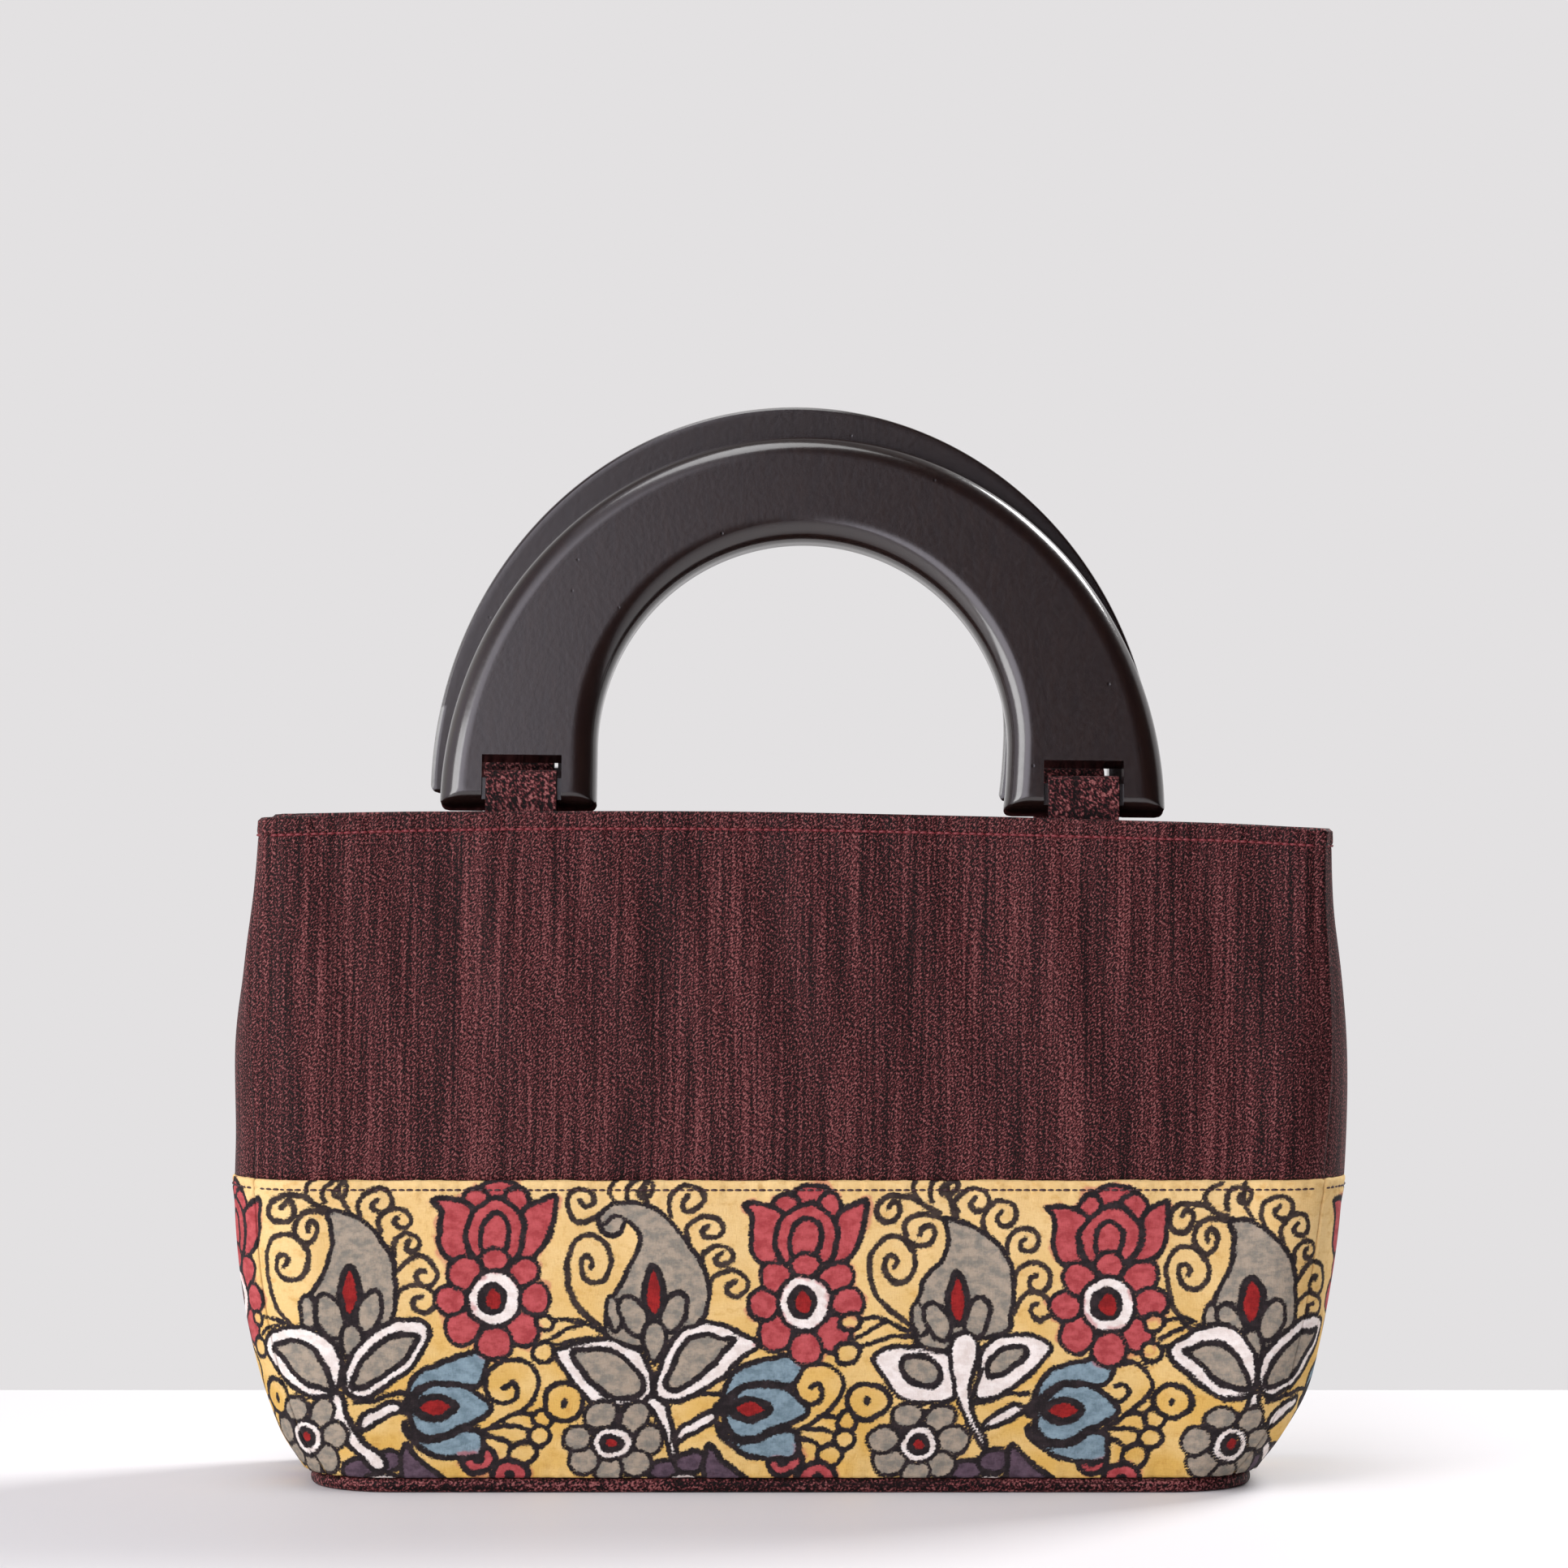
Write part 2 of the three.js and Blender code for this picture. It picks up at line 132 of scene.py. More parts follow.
# Bright walls to the left behind the camera, dark ones to the right and overhead.
lit_side = node(tree, "ShaderNodeMapRange", {"Value": split.outputs["X"], "From Min": -0.14, "From Max": 0.0,
                                             "To Min": 1.0, "To Max": 0.0}, interpolation_type="SMOOTHSTEP")
far_side = node(tree, "ShaderNodeMapRange", {"Value": split.outputs["X"], "From Min": -0.6, "From Max": -0.4,
                                             "To Min": 0.3, "To Max": 1.0}, interpolation_type="SMOOTHSTEP")
panel = node(tree, "ShaderNodeMath", {0: lit_side.outputs[0], 1: far_side.outputs[0]}, operation="MULTIPLY")
front = node(tree, "ShaderNodeMix", {"Factor": panel.outputs[0], "A": linear("#241f20"),
                                     "B": (2.9, 2.8, 3.15, 1)}, data_type="RGBA")
to_back = node(tree, "ShaderNodeMapRange", {"Value": split.outputs["Y"], "From Min": 0.0, "From Max": 0.3},
               interpolation_type="SMOOTHSTEP")
around = node(tree, "ShaderNodeMix", {"Factor": to_back.outputs[0], "A": front.outputs["Result"],
                                      "B": linear("#e3e1e2")}, data_type="RGBA")
overhead = node(tree, "ShaderNodeMapRange", {"Value": split.outputs["Z"], "From Min": 0.35, "From Max": 0.8,
                                             "To Min": 0.0, "To Max": 0.72}, interpolation_type="SMOOTHSTEP")
room = node(tree, "ShaderNodeMix", {"Factor": overhead.outputs[0], "A": around.outputs["Result"],
                                    "B": linear("#1a1a1c")}, data_type="RGBA")
tree.links.new(room.outputs["Result"], tree.nodes["Background"].inputs["Color"])
tree.nodes["Background"].inputs["Strength"].default_value = 1.0



# Body form: an open bag sewn from flat cloth. From the base it swells, leans a little to the
# right and closes towards the rim, where the ends fold inwards. Every cloth piece lies on it.
# Lengths in mm. Table columns: height, swell, narrow, close, full, tighten, tuck, lean.
BAG_WIDTH, BASE_LENGTH, RIM_WIDTH = 305.2, 262.0, 293.2
BASE_DEPTH, RIM_DEPTH, BELLY = 75.0, 58.0, 3.0
BASE_CORNER, RIM_CORNER = 24.0, 7.0
BODY_HEIGHT, BASE_THICKNESS, BAND_HEIGHT = 184.6, 4.1, 81.0
RIM_DROP, BACK_RIM_DROP, SIDE_LEAN, GUSSET_TUCK, DENT_DEPTH = 4.5, 1.6, 3.8, 14.0, 2.2
WALL, HEM_DEPTH = 2.0, 4.8
WALL_HEIGHT = BODY_HEIGHT - BASE_THICKNESS
BAND_SHARE = BAND_HEIGHT / WALL_HEIGHT
BODY_SECTIONS = np.array([
    (0.0, 0.0, 0, 0.0, 0.0, 0.0, 0.0, -0.75),
    (0.05, 0.3, 0, 0.0, 0.45, 0.0, 0.0, -0.6),
    (0.1, 0.5, 0, 0.0, 0.75, 0.0, 0.0, -0.4),
    (0.2, 0.74, 0, 0.02, 1.0, 0.0, 0.0, -0.38),
    (0.3, 0.89, 0, 0.08, 1.0, 0.0, 0.0, -0.33),
    (0.4, 0.98, 0, 0.18, 0.9, 0.02, 0.02, -0.2),
    (0.5, 1.0, 0, 0.3, 0.75, 0.1, 0.08, 0.0),
    (0.67, 1.0, 0.04, 0.52, 0.45, 0.36, 0.25, 0.05),
    (0.775, 1.0, 0.36, 0.68, 0.3, 0.58, 0.45, 0.12),
    (0.875, 1.0, 0.78, 0.84, 0.15, 0.82, 0.72, 0.2),
    (1.0, 1.0, 1, 1.0, 0.0, 1.0, 1.0, 0.3),
])
RIM_SECTIONS = np.array([
    (-1, 0.35), (-0.7, 0.04), (0, 0.0), (0.3, 0.2), (0.6, 0.46), (0.8, 0.66), (1, 1),
])
# Dent columns: along, height, wide, high, depth.
DENTS = {
    -1: ((-0.72, 0.86, 0.16, 0.4, 0.5), (-0.12, 0.98, 0.26, 0.26, 0.8),
         (0.34, 0.72, 0.14, 0.4, 0.4), (0.86, 0.7, 0.2, 0.5, 1.0)),
    1: ((-0.5, 0.8, 0.2, 0.4, 0.6), (0.1, 0.98, 0.3, 0.26, 0.8), (0.62, 0.78, 0.18, 0.4, 0.7)),
}


def from_table(table, column, place):
    """Eased value of a column between a table's rows."""
    keys, values = table[:, 0], table[:, column]
    slopes = np.gradient(values, keys)
    row = np.clip(np.searchsorted(keys, place) - 1, 0, len(keys) - 2)
    run = keys[row + 1] - keys[row]
    share = np.clip((place - keys[row]) / run, 0, 1)
    square, cube = share ** 2, share ** 3
    return ((2 * cube - 3 * square + 1) * values[row] + (cube - 2 * square + share) * run * slopes[row]
            + (3 * square - 2 * cube) * values[row + 1] + (cube - square) * run * slopes[row + 1])


def smooth_step(value, low, high):
    share = np.clip((value - low) / (high - low), 0, 1)
    return share * share * (3 - 2 * share)


def section_at(height):
    swell, narrow, close, full, tighten, tuck, lean = (
        from_table(BODY_SECTIONS, column, height) for column in range(1, 8))
    length = BASE_LENGTH + (BAG_WIDTH - BASE_LENGTH) * swell - (BAG_WIDTH - RIM_WIDTH) * narrow
    depth = BASE_DEPTH + (RIM_DEPTH - BASE_DEPTH) * close + 2 * BELLY * full
    corner = BASE_CORNER + (RIM_CORNER - BASE_CORNER) * tighten
    return length / 2, depth / 2, corner, GUSSET_TUCK * tuck, SIDE_LEAN * lean


def level_at(height, along, across):
    to_back = smooth_step(across, -1, 1) * smooth_step(along, -1.3, -0.3)
    drop = RIM_DROP * from_table(RIM_SECTIONS, 1, np.clip(along, -1, 1)) + BACK_RIM_DROP * to_back
    return BASE_THICKNESS + height * WALL_HEIGHT - drop * smooth_step(height, BAND_SHARE, 1)


def face_form(turn, height, side):
    """Point of the front or back cloth, and how far along the cloth it lies from the middle."""
    half_length, half_depth, corner, tuck, lean = section_at(height)
    flat = half_length - corner
    run = turn * (flat + corner * math.pi / 4)
    angle = np.clip((np.abs(run) - flat) / corner, 0, None)
    x = np.clip(run, -flat, flat) + np.sign(run) * corner * np.sin(angle)
    along = x / half_length
    dent = sum(DENT_DEPTH * depth * np.exp(-((along - a) / wide) ** 2 - ((height - h) / high) ** 2)
               for a, h, wide, high, depth in DENTS[side])
    y = half_depth - corner * (1 - np.cos(angle))
    level = level_at(height, along, side * y / half_depth)
    y = y - dent * smooth_step(1 - np.abs(turn), 0, 0.2)
    return np.stack([x + lean, side * y, level], -1), run


def end_form(turn, height, side):
    """Point of a gusset's cloth, and how far along the cloth it lies from its front seam."""
    half_length, half_depth, corner, tuck, lean = section_at(height)
    flat = half_depth - corner
    run = turn * (flat + corner * math.pi / 4)
    angle = np.clip((np.abs(run) - flat) / corner, 0, None)
    y = np.clip(run, -flat, flat) + np.sign(run) * corner * np.sin(angle)
    x = half_length - corner * (1 - np.cos(angle)) - tuck * np.cos(np.clip(y / flat, -1,
                                                                           1) * math.pi / 2) ** 2
    along = side * x / half_length
    front_seam = half_length - corner + corner * math.pi / 4
    from_seam = run + flat + corner * math.pi / 4
    level = level_at(height, along, y / half_depth)
    return np.stack([side * x + lean, y, level], -1), side * (front_seam + from_seam)


def grid_piece(name, across, up, spread_turn, spread_height, form, relief=None):
    """A grid primitive laid on the body form. relief moves each point out along the normal."""
    bpy.ops.object.select_all(action="DESELECT")
    bpy.ops.mesh.primitive_grid_add(x_subdivisions=across, y_subdivisions=up, size=1)
    piece = bpy.context.object
    piece.name = name
    count = len(piece.data.vertices)
    flat = np.empty(count * 3)
    piece.data.vertices.foreach_get("co", flat)
    flat = flat.reshape(-1, 3)
    turn, height = spread_turn(flat[:, 0] * 2), spread_height(flat[:, 1] + 0.5)
    points, run = form(turn, height)
    small = 0.001
    across_way = form(turn + small, height)[0] - form(turn - small, height)[0]
    up_way = form(turn, height + small)[0] - form(turn, height - small)[0]
    normal = np.cross(across_way, up_way)
    normal /= np.linalg.norm(normal, axis=1)[:, None]
    from_base = height * WALL_HEIGHT
    if relief is not None:
        points = points + normal * relief(run, from_base, turn)[:, None]
    piece.data.vertices.foreach_set("co", (points * MM).ravel())
    piece.data.update()
    return piece, run, from_base


def add_wall(piece, run, from_base, thickness=WALL):
    """Give a cloth grid its wall, and keep the cloth's own coordinates and which side is inside."""
    bpy.context.view_layer.objects.active = piece
    solidify = piece.modifiers.new("wall", "SOLIDIFY")
    solidify.thickness = thickness * MM
    solidify.offset = -1
    bpy.ops.object.modifier_apply(modifier="wall")
    mesh = piece.data
    total = len(mesh.vertices)
    outer = len(run)
    inside = np.ones(total)
    inside[:outer] = 0
    cloth = np.zeros((total, 3))
    cloth[:outer, 0], cloth[:outer, 1] = run, from_base
    cloth[outer:2 * outer] = cloth[:outer]
    mesh.attributes.new("cloth_mm", "FLOAT_VECTOR", "POINT").data.foreach_set("vector", cloth.ravel())
    mesh.attributes.new("inside", "FLOAT", "POINT").data.foreach_set("value", inside)
    mesh.polygons.foreach_set("use_smooth", np.ones(len(mesh.polygons), bool))
    mesh.update()


def ripple(values, seed, waves):
    """Sum of a few sines with seeded phases, about one unit high. waves are lengths in mm."""
    draw = np.random.default_rng(seed)
    return sum(np.sin(2 * math.pi * (values / wave + draw.random())) for wave in waves) / len(waves) ** 0.5


PIECES = (
    ("front", "face", -1), ("back", "face", 1), ("left", "end", -1), ("right", "end", 1),
)


def form_for(kind, side):
    """Form of one wall, with its turn run so that the grid's faces point outwards."""
    if kind == "face":
        return lambda turn, height: face_form(-side * turn, height, side)
    return lambda turn, height: end_form(side * turn, height, side)


# Silk walls: four panels of maroon and black shot raw silk over interlining, sewn at the
# corners. The rim is folded over and stitched down 4.8 mm below the edge, and puckers there.
def silk_relief(seed, ridge):
    def relief(run, from_base, turn):
        from_rim = WALL_HEIGHT - from_base
        hem = smooth_step(HEM_DEPTH + 0.9 - from_rim, 0, 1.2) * 0.45
        roll = -0.9 * smooth_step(0.9 - from_rim, 0, 0.9)
        groove = -0.4 * np.exp(-((from_rim - HEM_DEPTH) / 0.55) ** 2)
        pucker = ripple(run, seed, (3.1, 4.7, 7.3)) * 0.22 * np.exp(-((from_rim - 4) / 5) ** 2)
        wave = ripple(run + 0.2 * from_base, seed + 1, (17, 29, 47)) * 0.28 * smooth_step(from_base, 85, 140)
        edge = 1 - np.abs(turn)
        seam = ridge * smooth_step(from_base, 86, 112) * (
            0.9 * np.exp(-((edge - 0.004) / 0.008) ** 2) - 0.5 * np.exp(-((edge - 0.026) / 0.006) ** 2))
        return hem + roll + groove + pucker + wave * smooth_step(edge, 0, 0.1) + seam
    return relief


def rim_dense(share):
    """Heights of the silk's rows, closer together in the hem."""
    low = BAND_SHARE - 0.0006
    hem = 1 - 9 / WALL_HEIGHT
    knee = 0.62
    below, within = share / knee, (share - knee) / (1 - knee)
    return np.where(share < knee, low + (hem - low) * below, hem + (1 - hem) * within)


def to_seam(turn):
    """Stops each wall a hair short of its corner seams."""
    return turn * 0.9995


silk_walls = []
for order, (name, kind, side) in enumerate(PIECES):
    across = 300 if kind == "face" else 84
    wall_name = f"{name}_silk_wall"
    piece, run, from_base = grid_piece(
        wall_name, across, 58, to_seam, rim_dense, form_for(kind, side),
        silk_relief(11 + 7 * order, 1.0 if kind == "face" else 0.0))
    add_wall(piece, run, from_base)
    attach(piece, "root")
    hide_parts(f"{name}_silk_panel" if kind == "face" else f"{name}_gusset_silk")
    cut = (run.max() - run.min()) * MM, (WALL_HEIGHT - BAND_HEIGHT) * MM
    silk_walls.append(piece)


# Raw silk: dark red and black yarns of uneven thickness, twisted hard, so that the cloth looks like slanting
# red ticks with black gaps, in upright streaks 1 to 3 mm wide, with a low sheen. The palest ticks are red
# yarn with a painted glint of light on them.
def shot_silk(name, on_cloth, tilt, tick_mm, streak_mm, line_mm, band_mm):
    """Sizes across and along the yarns, on the cloth's own coordinates or the object's."""
    material, tree, shader = surface_material(name)
    if on_cloth:
        at = node(tree, "ShaderNodeAttribute", attribute_name="cloth_mm").outputs["Vector"]
    else:
        spot = node(tree, "ShaderNodeTexCoord").outputs["Object"]
        at = node(tree, "ShaderNodeVectorMath", {0: spot, 1: (1000, 1000, 1000)},
                  operation="MULTIPLY").outputs[0]
    slanted = node(tree, "ShaderNodeMapping", {"Vector": at, "Rotation": tilt}).outputs[0]

    def yarn(source, sizes, detail):
        spread = node(tree, "ShaderNodeVectorMath", {0: source, 1: sizes}, operation="DIVIDE")
        return node(tree, "ShaderNodeTexNoise", {"Vector": spread.outputs[0], "Scale": 1.0, "Detail": detail,
                                                 "Roughness": 0.6}).outputs["Fac"]

    tick, streak = yarn(slanted, tick_mm, 1.0), yarn(at, streak_mm, 2.0)
    line, band = yarn(at, line_mm, 1.0), yarn(at, band_mm, 2.0)
    shade = node(tree, "ShaderNodeMath", {0: streak, 1: 0.36, 2: tick}, operation="MULTIPLY_ADD").outputs[0]
    shade = node(tree, "ShaderNodeMath", {0: band, 1: 0.18, 2: shade}, operation="MULTIPLY_ADD").outputs[0]
    lower = node(tree, "ShaderNodeMath", {0: shade, 1: 0.278}, operation="SUBTRACT").outputs[0]
    # The colour runs from black through reds to a pale pink. The pale pink end is partly red yarn and partly
    # a painted glint on the tops of the yarns.
    tone = node(tree, "ShaderNodeValToRGB", {"Fac": lower})
    tone.color_ramp.elements[0].position = 0.42
    tone.color_ramp.elements[0].color = linear("#0d0505")
    tone.color_ramp.elements[1].position = 0.67
    tone.color_ramp.elements[1].color = linear("#8c5654")
    for place, shade_hex in ((0.47, "#2b1112"), (0.56, "#552326")):
        tone.color_ramp.elements.new(place).color = linear(shade_hex)
    lined = node(tree, "ShaderNodeMapRange", {"Value": line, "From Min": 0.62, "From Max": 0.7,
                                              "To Max": 0.75})
    woven = node(tree, "ShaderNodeMix", {"Factor": lined.outputs[0], "A": tone.outputs["Color"],
                                         "B": linear("#140708")}, data_type="RGBA")
    bump = node(tree, "ShaderNodeBump", {"Height": tick, "Strength": 0.6, "Distance": 0.3 * MM})
    tree.links.new(woven.outputs["Result"], shader.inputs["Base Color"])
    tree.links.new(bump.outputs["Normal"], shader.inputs["Normal"])
    shader.inputs["Roughness"].default_value = 0.6
    shader.inputs["Specular IOR Level"].default_value = 0.12
    shader.inputs["Sheen Weight"].default_value = 0.03
    shader.inputs["Sheen Roughness"].default_value = 0.4
    return material


# Yarns lie 0.35 mm apart on the cloth. Their ticks are drawn 0.42 by 0.72 mm, so that they show.
raw_silk = shot_silk("raw_silk_shot_maroon", True, (0, 0, 0.6), (0.42, 0.72, 1), (1.2, 60, 1), (0.5, 90, 1),
                     (14, 220, 1))
for piece in silk_walls:
    piece.data.materials.append(raw_silk)



# Printed band: cotton drawn and coloured by hand in a common flower and paisley repeat, lapped
# over the silk's lower edge and top-stitched 2.7 mm below its fold. It is charted here on a grid
# of squares of 1.1 mm, with a repeat of 75 squares, as distances to each colour and to the ink.
SQUARE, REPEAT, FIRST_REPEAT = 1.1, 75, -148.1
COLOURS = ("pink", "grey", "white", "red", "blue", "purple")
INK_LINE = 1.45
# How each repeat differs from the chart. Columns: kind of paisley and leaves, then shifts in
# squares, across and up, of the paisley, lotus, bud, grey flower and large scroll.
REPEAT_SHIFTS = {
    -1: (2, -0.5, 0.5, 1.4, -0.8, 1.0, 0.5, 0, 0.5, -0.5, 1),
    0: (0, 0, 0, 0, 0, -2.6, 0.3, -2.2, 0.7, 0, 0),
    1: (1, 0, 0, 1.8, -1.1, 0, 0, 0, 0, 0.6, -0.6),
    2: (2, 0, 0, 1.6, -1.4, 1.8, -0.3, 0.4, -0.4, 1.2, -0.4),
    3: (0, -2.4, -2.2, 1.4, -0.6, 1, 0, 2.6, -1, 0.5, 0),
    4: (1, 0.8, 0.6, 0.4, 0, -1, 0.6, 1, 0.5, 0, 1),
}


def smooth_route(points, closed, steps=5):
    """Round curve through chart points."""
    points = np.array(points, float)
    count = len(points)

    def neighbour(row):
        return points[row % count] if closed else points[min(max(row, 0), count - 1)]

    curve = []
    for at in range(count if closed else count - 1):
        a, b, c, d = (neighbour(at + step) for step in (-1, 0, 1, 2))
        for step in range(steps):
            t = step / steps
            curve.append(0.5 * (2 * b + (c - a) * t + (2 * a - 5 * b + 4 * c - d) * t * t
                                + (3 * b - a - 3 * c + d) * t ** 3))
    if not closed:
        curve.append(points[-1])
    return np.array(curve)


def turned(points, x, y, tilt=0.0, size=1.0):
    """Points turned by tilt degrees, enlarged and moved."""
    points = np.array(points, float) * size
    c, s = math.cos(math.radians(tilt)), math.sin(math.radians(tilt))
    return np.stack([x + points[:, 0] * c - points[:, 1] * s, y + points[:, 0] * s + points[:, 1] * c], -1)


def oval(x, y, wide, high, tilt=0.0, sides=20):
    turn = np.linspace(0, 2 * math.pi, sides, endpoint=False)
    return turned(np.stack([wide * np.cos(turn), high * np.sin(turn)], -1), x, y, tilt)


def hook(x, y, tilt=0.0, size=1.0):
    """Tendril that rises from a point and curls back into itself."""
    return turned([(0, 0), (-0.4, 2.8), (0.8, 5.3), (3.6, 6.6), (6.6, 5.8), (7.7, 3.2), (6.2, 1.1),
                   (3.9, 1.3), (3.1, 3), (4.3, 4.1)], x, y, tilt, size)


class HandPrint:
    """Distances in mm from points of the cloth to the inked lines and to each colour."""

    def __init__(self, squares_across, squares_up):
        self.at = np.stack([squares_across, squares_up], -1)
        self.layers = {name: np.full(len(self.at), 6.0) for name in (*COLOURS, "ink", "sepia")}
        self.shift = np.zeros(2)
        self.kind = 0

    def near(self, route, margin):
        low, high = route.min(0) - margin, route.max(0) + margin
        return np.nonzero(np.all((self.at > low) & (self.at < high), axis=1))[0]

    def distance(self, where, route, closed):
        starts = route if closed else route[:-1]
        ends = np.roll(route, -1, axis=0) if closed else route[1:]
        point = self.at[where][:, None, :]
        way = ends - starts
        share = ((point - starts) * way).sum(-1) / np.maximum((way ** 2).sum(-1), 1e-9)
        gap = point - (starts + np.clip(share, 0, 1)[..., None] * way)
        reach = np.sqrt((gap ** 2).sum(-1)).min(1)
        if not closed:
            return reach * SQUARE
        above = (starts[:, 1] > point[..., 1]) != (ends[:, 1] > point[..., 1])
        slope = way[:, 0] / np.where(way[:, 1] == 0, 1e-9, way[:, 1])
        crossing = above & (point[..., 0] < starts[:, 0] + slope * (point[..., 1] - starts[:, 1]))
        return np.where(crossing.sum(1) % 2 == 1, -reach, reach) * SQUARE

    def fill(self, colour, outline, line=INK_LINE):
        """Clear the inside of an outline, colour it and ink its edge. The colour ink blackens it."""
        route = smooth_route(np.array(outline, float) + self.shift, True)
        where = self.near(route, 4)
        if not len(where):
            return
        gap = self.distance(where, route, True)
        # A shape without a line of its own keeps a little of what lies under its edge.
        kept = 0.0 if line else 0.6
        for name in self.layers:
            self.layers[name][where] = np.maximum(self.layers[name][where], -gap - kept)
        if colour:
            self.layers[colour][where] = np.minimum(self.layers[colour][where], gap)
        if line:
            self.layers["ink"][where] = np.minimum(self.layers["ink"][where], np.abs(gap) - line / 2)

    def draw(self, route, line=INK_LINE, ink="ink"):
        route = smooth_route(np.array(route, float) + self.shift, False)
        where = self.near(route, 4)
        if len(where):
            gap = self.distance(where, route, False) - line / 2
            self.layers[ink][where] = np.minimum(self.layers[ink][where], gap)


def mirrored(outline):
    return [(-x, y) for x, y in reversed(outline)]


PAISLEYS = (
    [(21, 65.2), (24, 65.9), (27, 65), (30, 63.5), (33, 61), (35.5, 58), (37.5, 55), (38.4, 51), (38.7, 46),
     (38.4, 41), (36, 37), (28, 33), (20, 34), (16, 38), (15.8, 41.5), (17, 45), (18.8, 48.4), (21, 52.4),
     (22, 55.6), (22.4, 59), (22, 62.4)],
    [(15.4, 67.2), (18.5, 68.4), (22, 68.5), (25.6, 67.6), (29, 65.5), (32, 62.4), (35, 58.5), (38, 54.6),
     (40, 51), (41, 47), (40.6, 43), (38.6, 39.6), (30, 33), (20, 33), (15, 36), (15, 40), (16, 43.6),
     (18, 47), (20.4, 51.4), (22.2, 55), (23.6, 58.4), (22.6, 61.4), (19.8, 63.3), (18.6, 60.8), (16.2, 59.7),
     (13.8, 61), (12.9, 64)],
    [(23.6, 64), (27, 63.4), (31, 61.6), (34.6, 59), (37.6, 56), (39.6, 52.4), (40.2, 48), (39.9, 42),
     (38.6, 36.6), (30, 34), (22, 31), (17, 33.4), (15.4, 37), (15.8, 41), (17, 45), (18.6, 49), (22, 53),
     (24, 56), (24.8, 60)],
)
HOOKS = (
    ((29.5, 64.5, 8, 1.0), (34.5, 60.6, 4, 0.95), (38, 55, 2, 0.8), (39, 51.4, -44, 1.1),
     (38.6, 42.6, -24, 1.1)),
    ((31, 65, 6, 1.0), (35.6, 58.4, 2, 1.0), (39.5, 51.6, 2, 0.85), (41, 46.2, -22, 1.0)),
    ((26.4, 64, 8, 1.05), (33, 60.6, 6, 1.1), (39, 55, 0, 1.0), (40.3, 47.6, -20, 1.1), (40.6, 41, -26, 1.1)),
)
SCROLLS = (
    [(21, 65.4), (17, 65.9), (14, 65), (12.5, 62.5), (13, 60), (15, 58.3), (17, 58.5), (18.3, 60.5),
     (18.3, 62.5), (17, 63.6), (15.8, 62.8), (16, 61.2)],
    [(13, 64.6), (9.5, 63), (6.5, 64), (5, 67), (5.5, 70), (8, 71.6), (11, 70.6), (11.6, 68), (9.6, 66.8),
     (8.2, 68.4)],
    [(24, 63.8), (20, 64.8), (16, 64.8), (13.6, 62.5), (14, 59.4), (16.4, 57.6), (19.4, 58), (21.2, 60),
     (20, 62), (17.6, 61.8), (17.2, 60.2)],
)


def paisley(ink):
    kind = ink.kind
    tail = 1.5 if kind == 2 else 0
    ink.draw([(13.5 + tail, 37.5), (9.5 + tail, 41), (7 + tail / 2, 44.5), (5.8, 49), (5.2, 53), (6, 56.6),
              (8.2, 59.5), (11.2, 60), (13.8, 58.8), (15.7, 56.4), (16.3, 53), (15.4, 50.3), (13.2, 48.8),
              (10.4, 49.4), (8.6, 51.8), (8.9, 54.2), (10.6, 55), (11.6, 53.4), (10.9, 52.2)], 1.35, "sepia")
    ink.draw(SCROLLS[kind], 1.4, "sepia")
    if kind != 1:
        ink.draw([(22.6, 65.4), (18.6, 67.2), (15, 69.2), (11.4, 69.8), (8, 69), (6.1, 66.8), (6.8, 64.2),
                  (9.4, 63.3), (11.8, 64.6), (12.2, 67), (10.6, 68.2), (9.2, 66.8)], 1.5, "sepia")
        ink.draw([(16, 58.2), (15.2, 56.6)], 1.4, "sepia")
    ink.draw([(17.6, 68), (15.4, 70.4), (15.8, 73), (18.4, 74.8)], 1.2, "sepia")
    ink.draw(hook(20.5, 68.2, 12, 0.8), 1.25, "sepia")
    ink.draw([(26.6, 65.8), (24.8, 68.6), (23.8, 71.6), (24.6, 75)], 1.3, "sepia")
    for spot in HOOKS[kind]:
        ink.draw(hook(*spot), 1.3, "sepia")
    ink.fill("grey", PAISLEYS[kind], 1.5)
    if kind == 1:
        ink.draw([(19.8, 63.3), (18.2, 64.3), (15.8, 64.2), (14.6, 62.6)], 1.2)
    low = -1.5 if kind == 2 else 0
    ink.fill("grey", oval(17.2, 41 + low, 1.9, 4.4, 8), 1.3)
    ink.fill("grey", oval(22, 40.4 + low, 3.1, 5.4, 24))
    ink.fill("grey", oval(32, 41.2 + low, 3.0, 5.2, -16))
    ink.fill("red", [(27, 52.4 + low), (28.9, 49.2 + low), (29.7, 45.4 + low), (28.6, 41.4 + low),
                     (27, 39.8 + low), (25.3, 41.6 + low), (24.5, 45.6 + low), (25.2, 49.4 + low)], 1.9)
    if kind != 2:
        ink.fill("grey", [(27.2, 38.8), (29.4, 37.6), (30.2, 34.6), (29, 31.4), (27.2, 28.6), (25.4, 31.4),
                          (24.4, 34.6), (25.2, 37.6)])


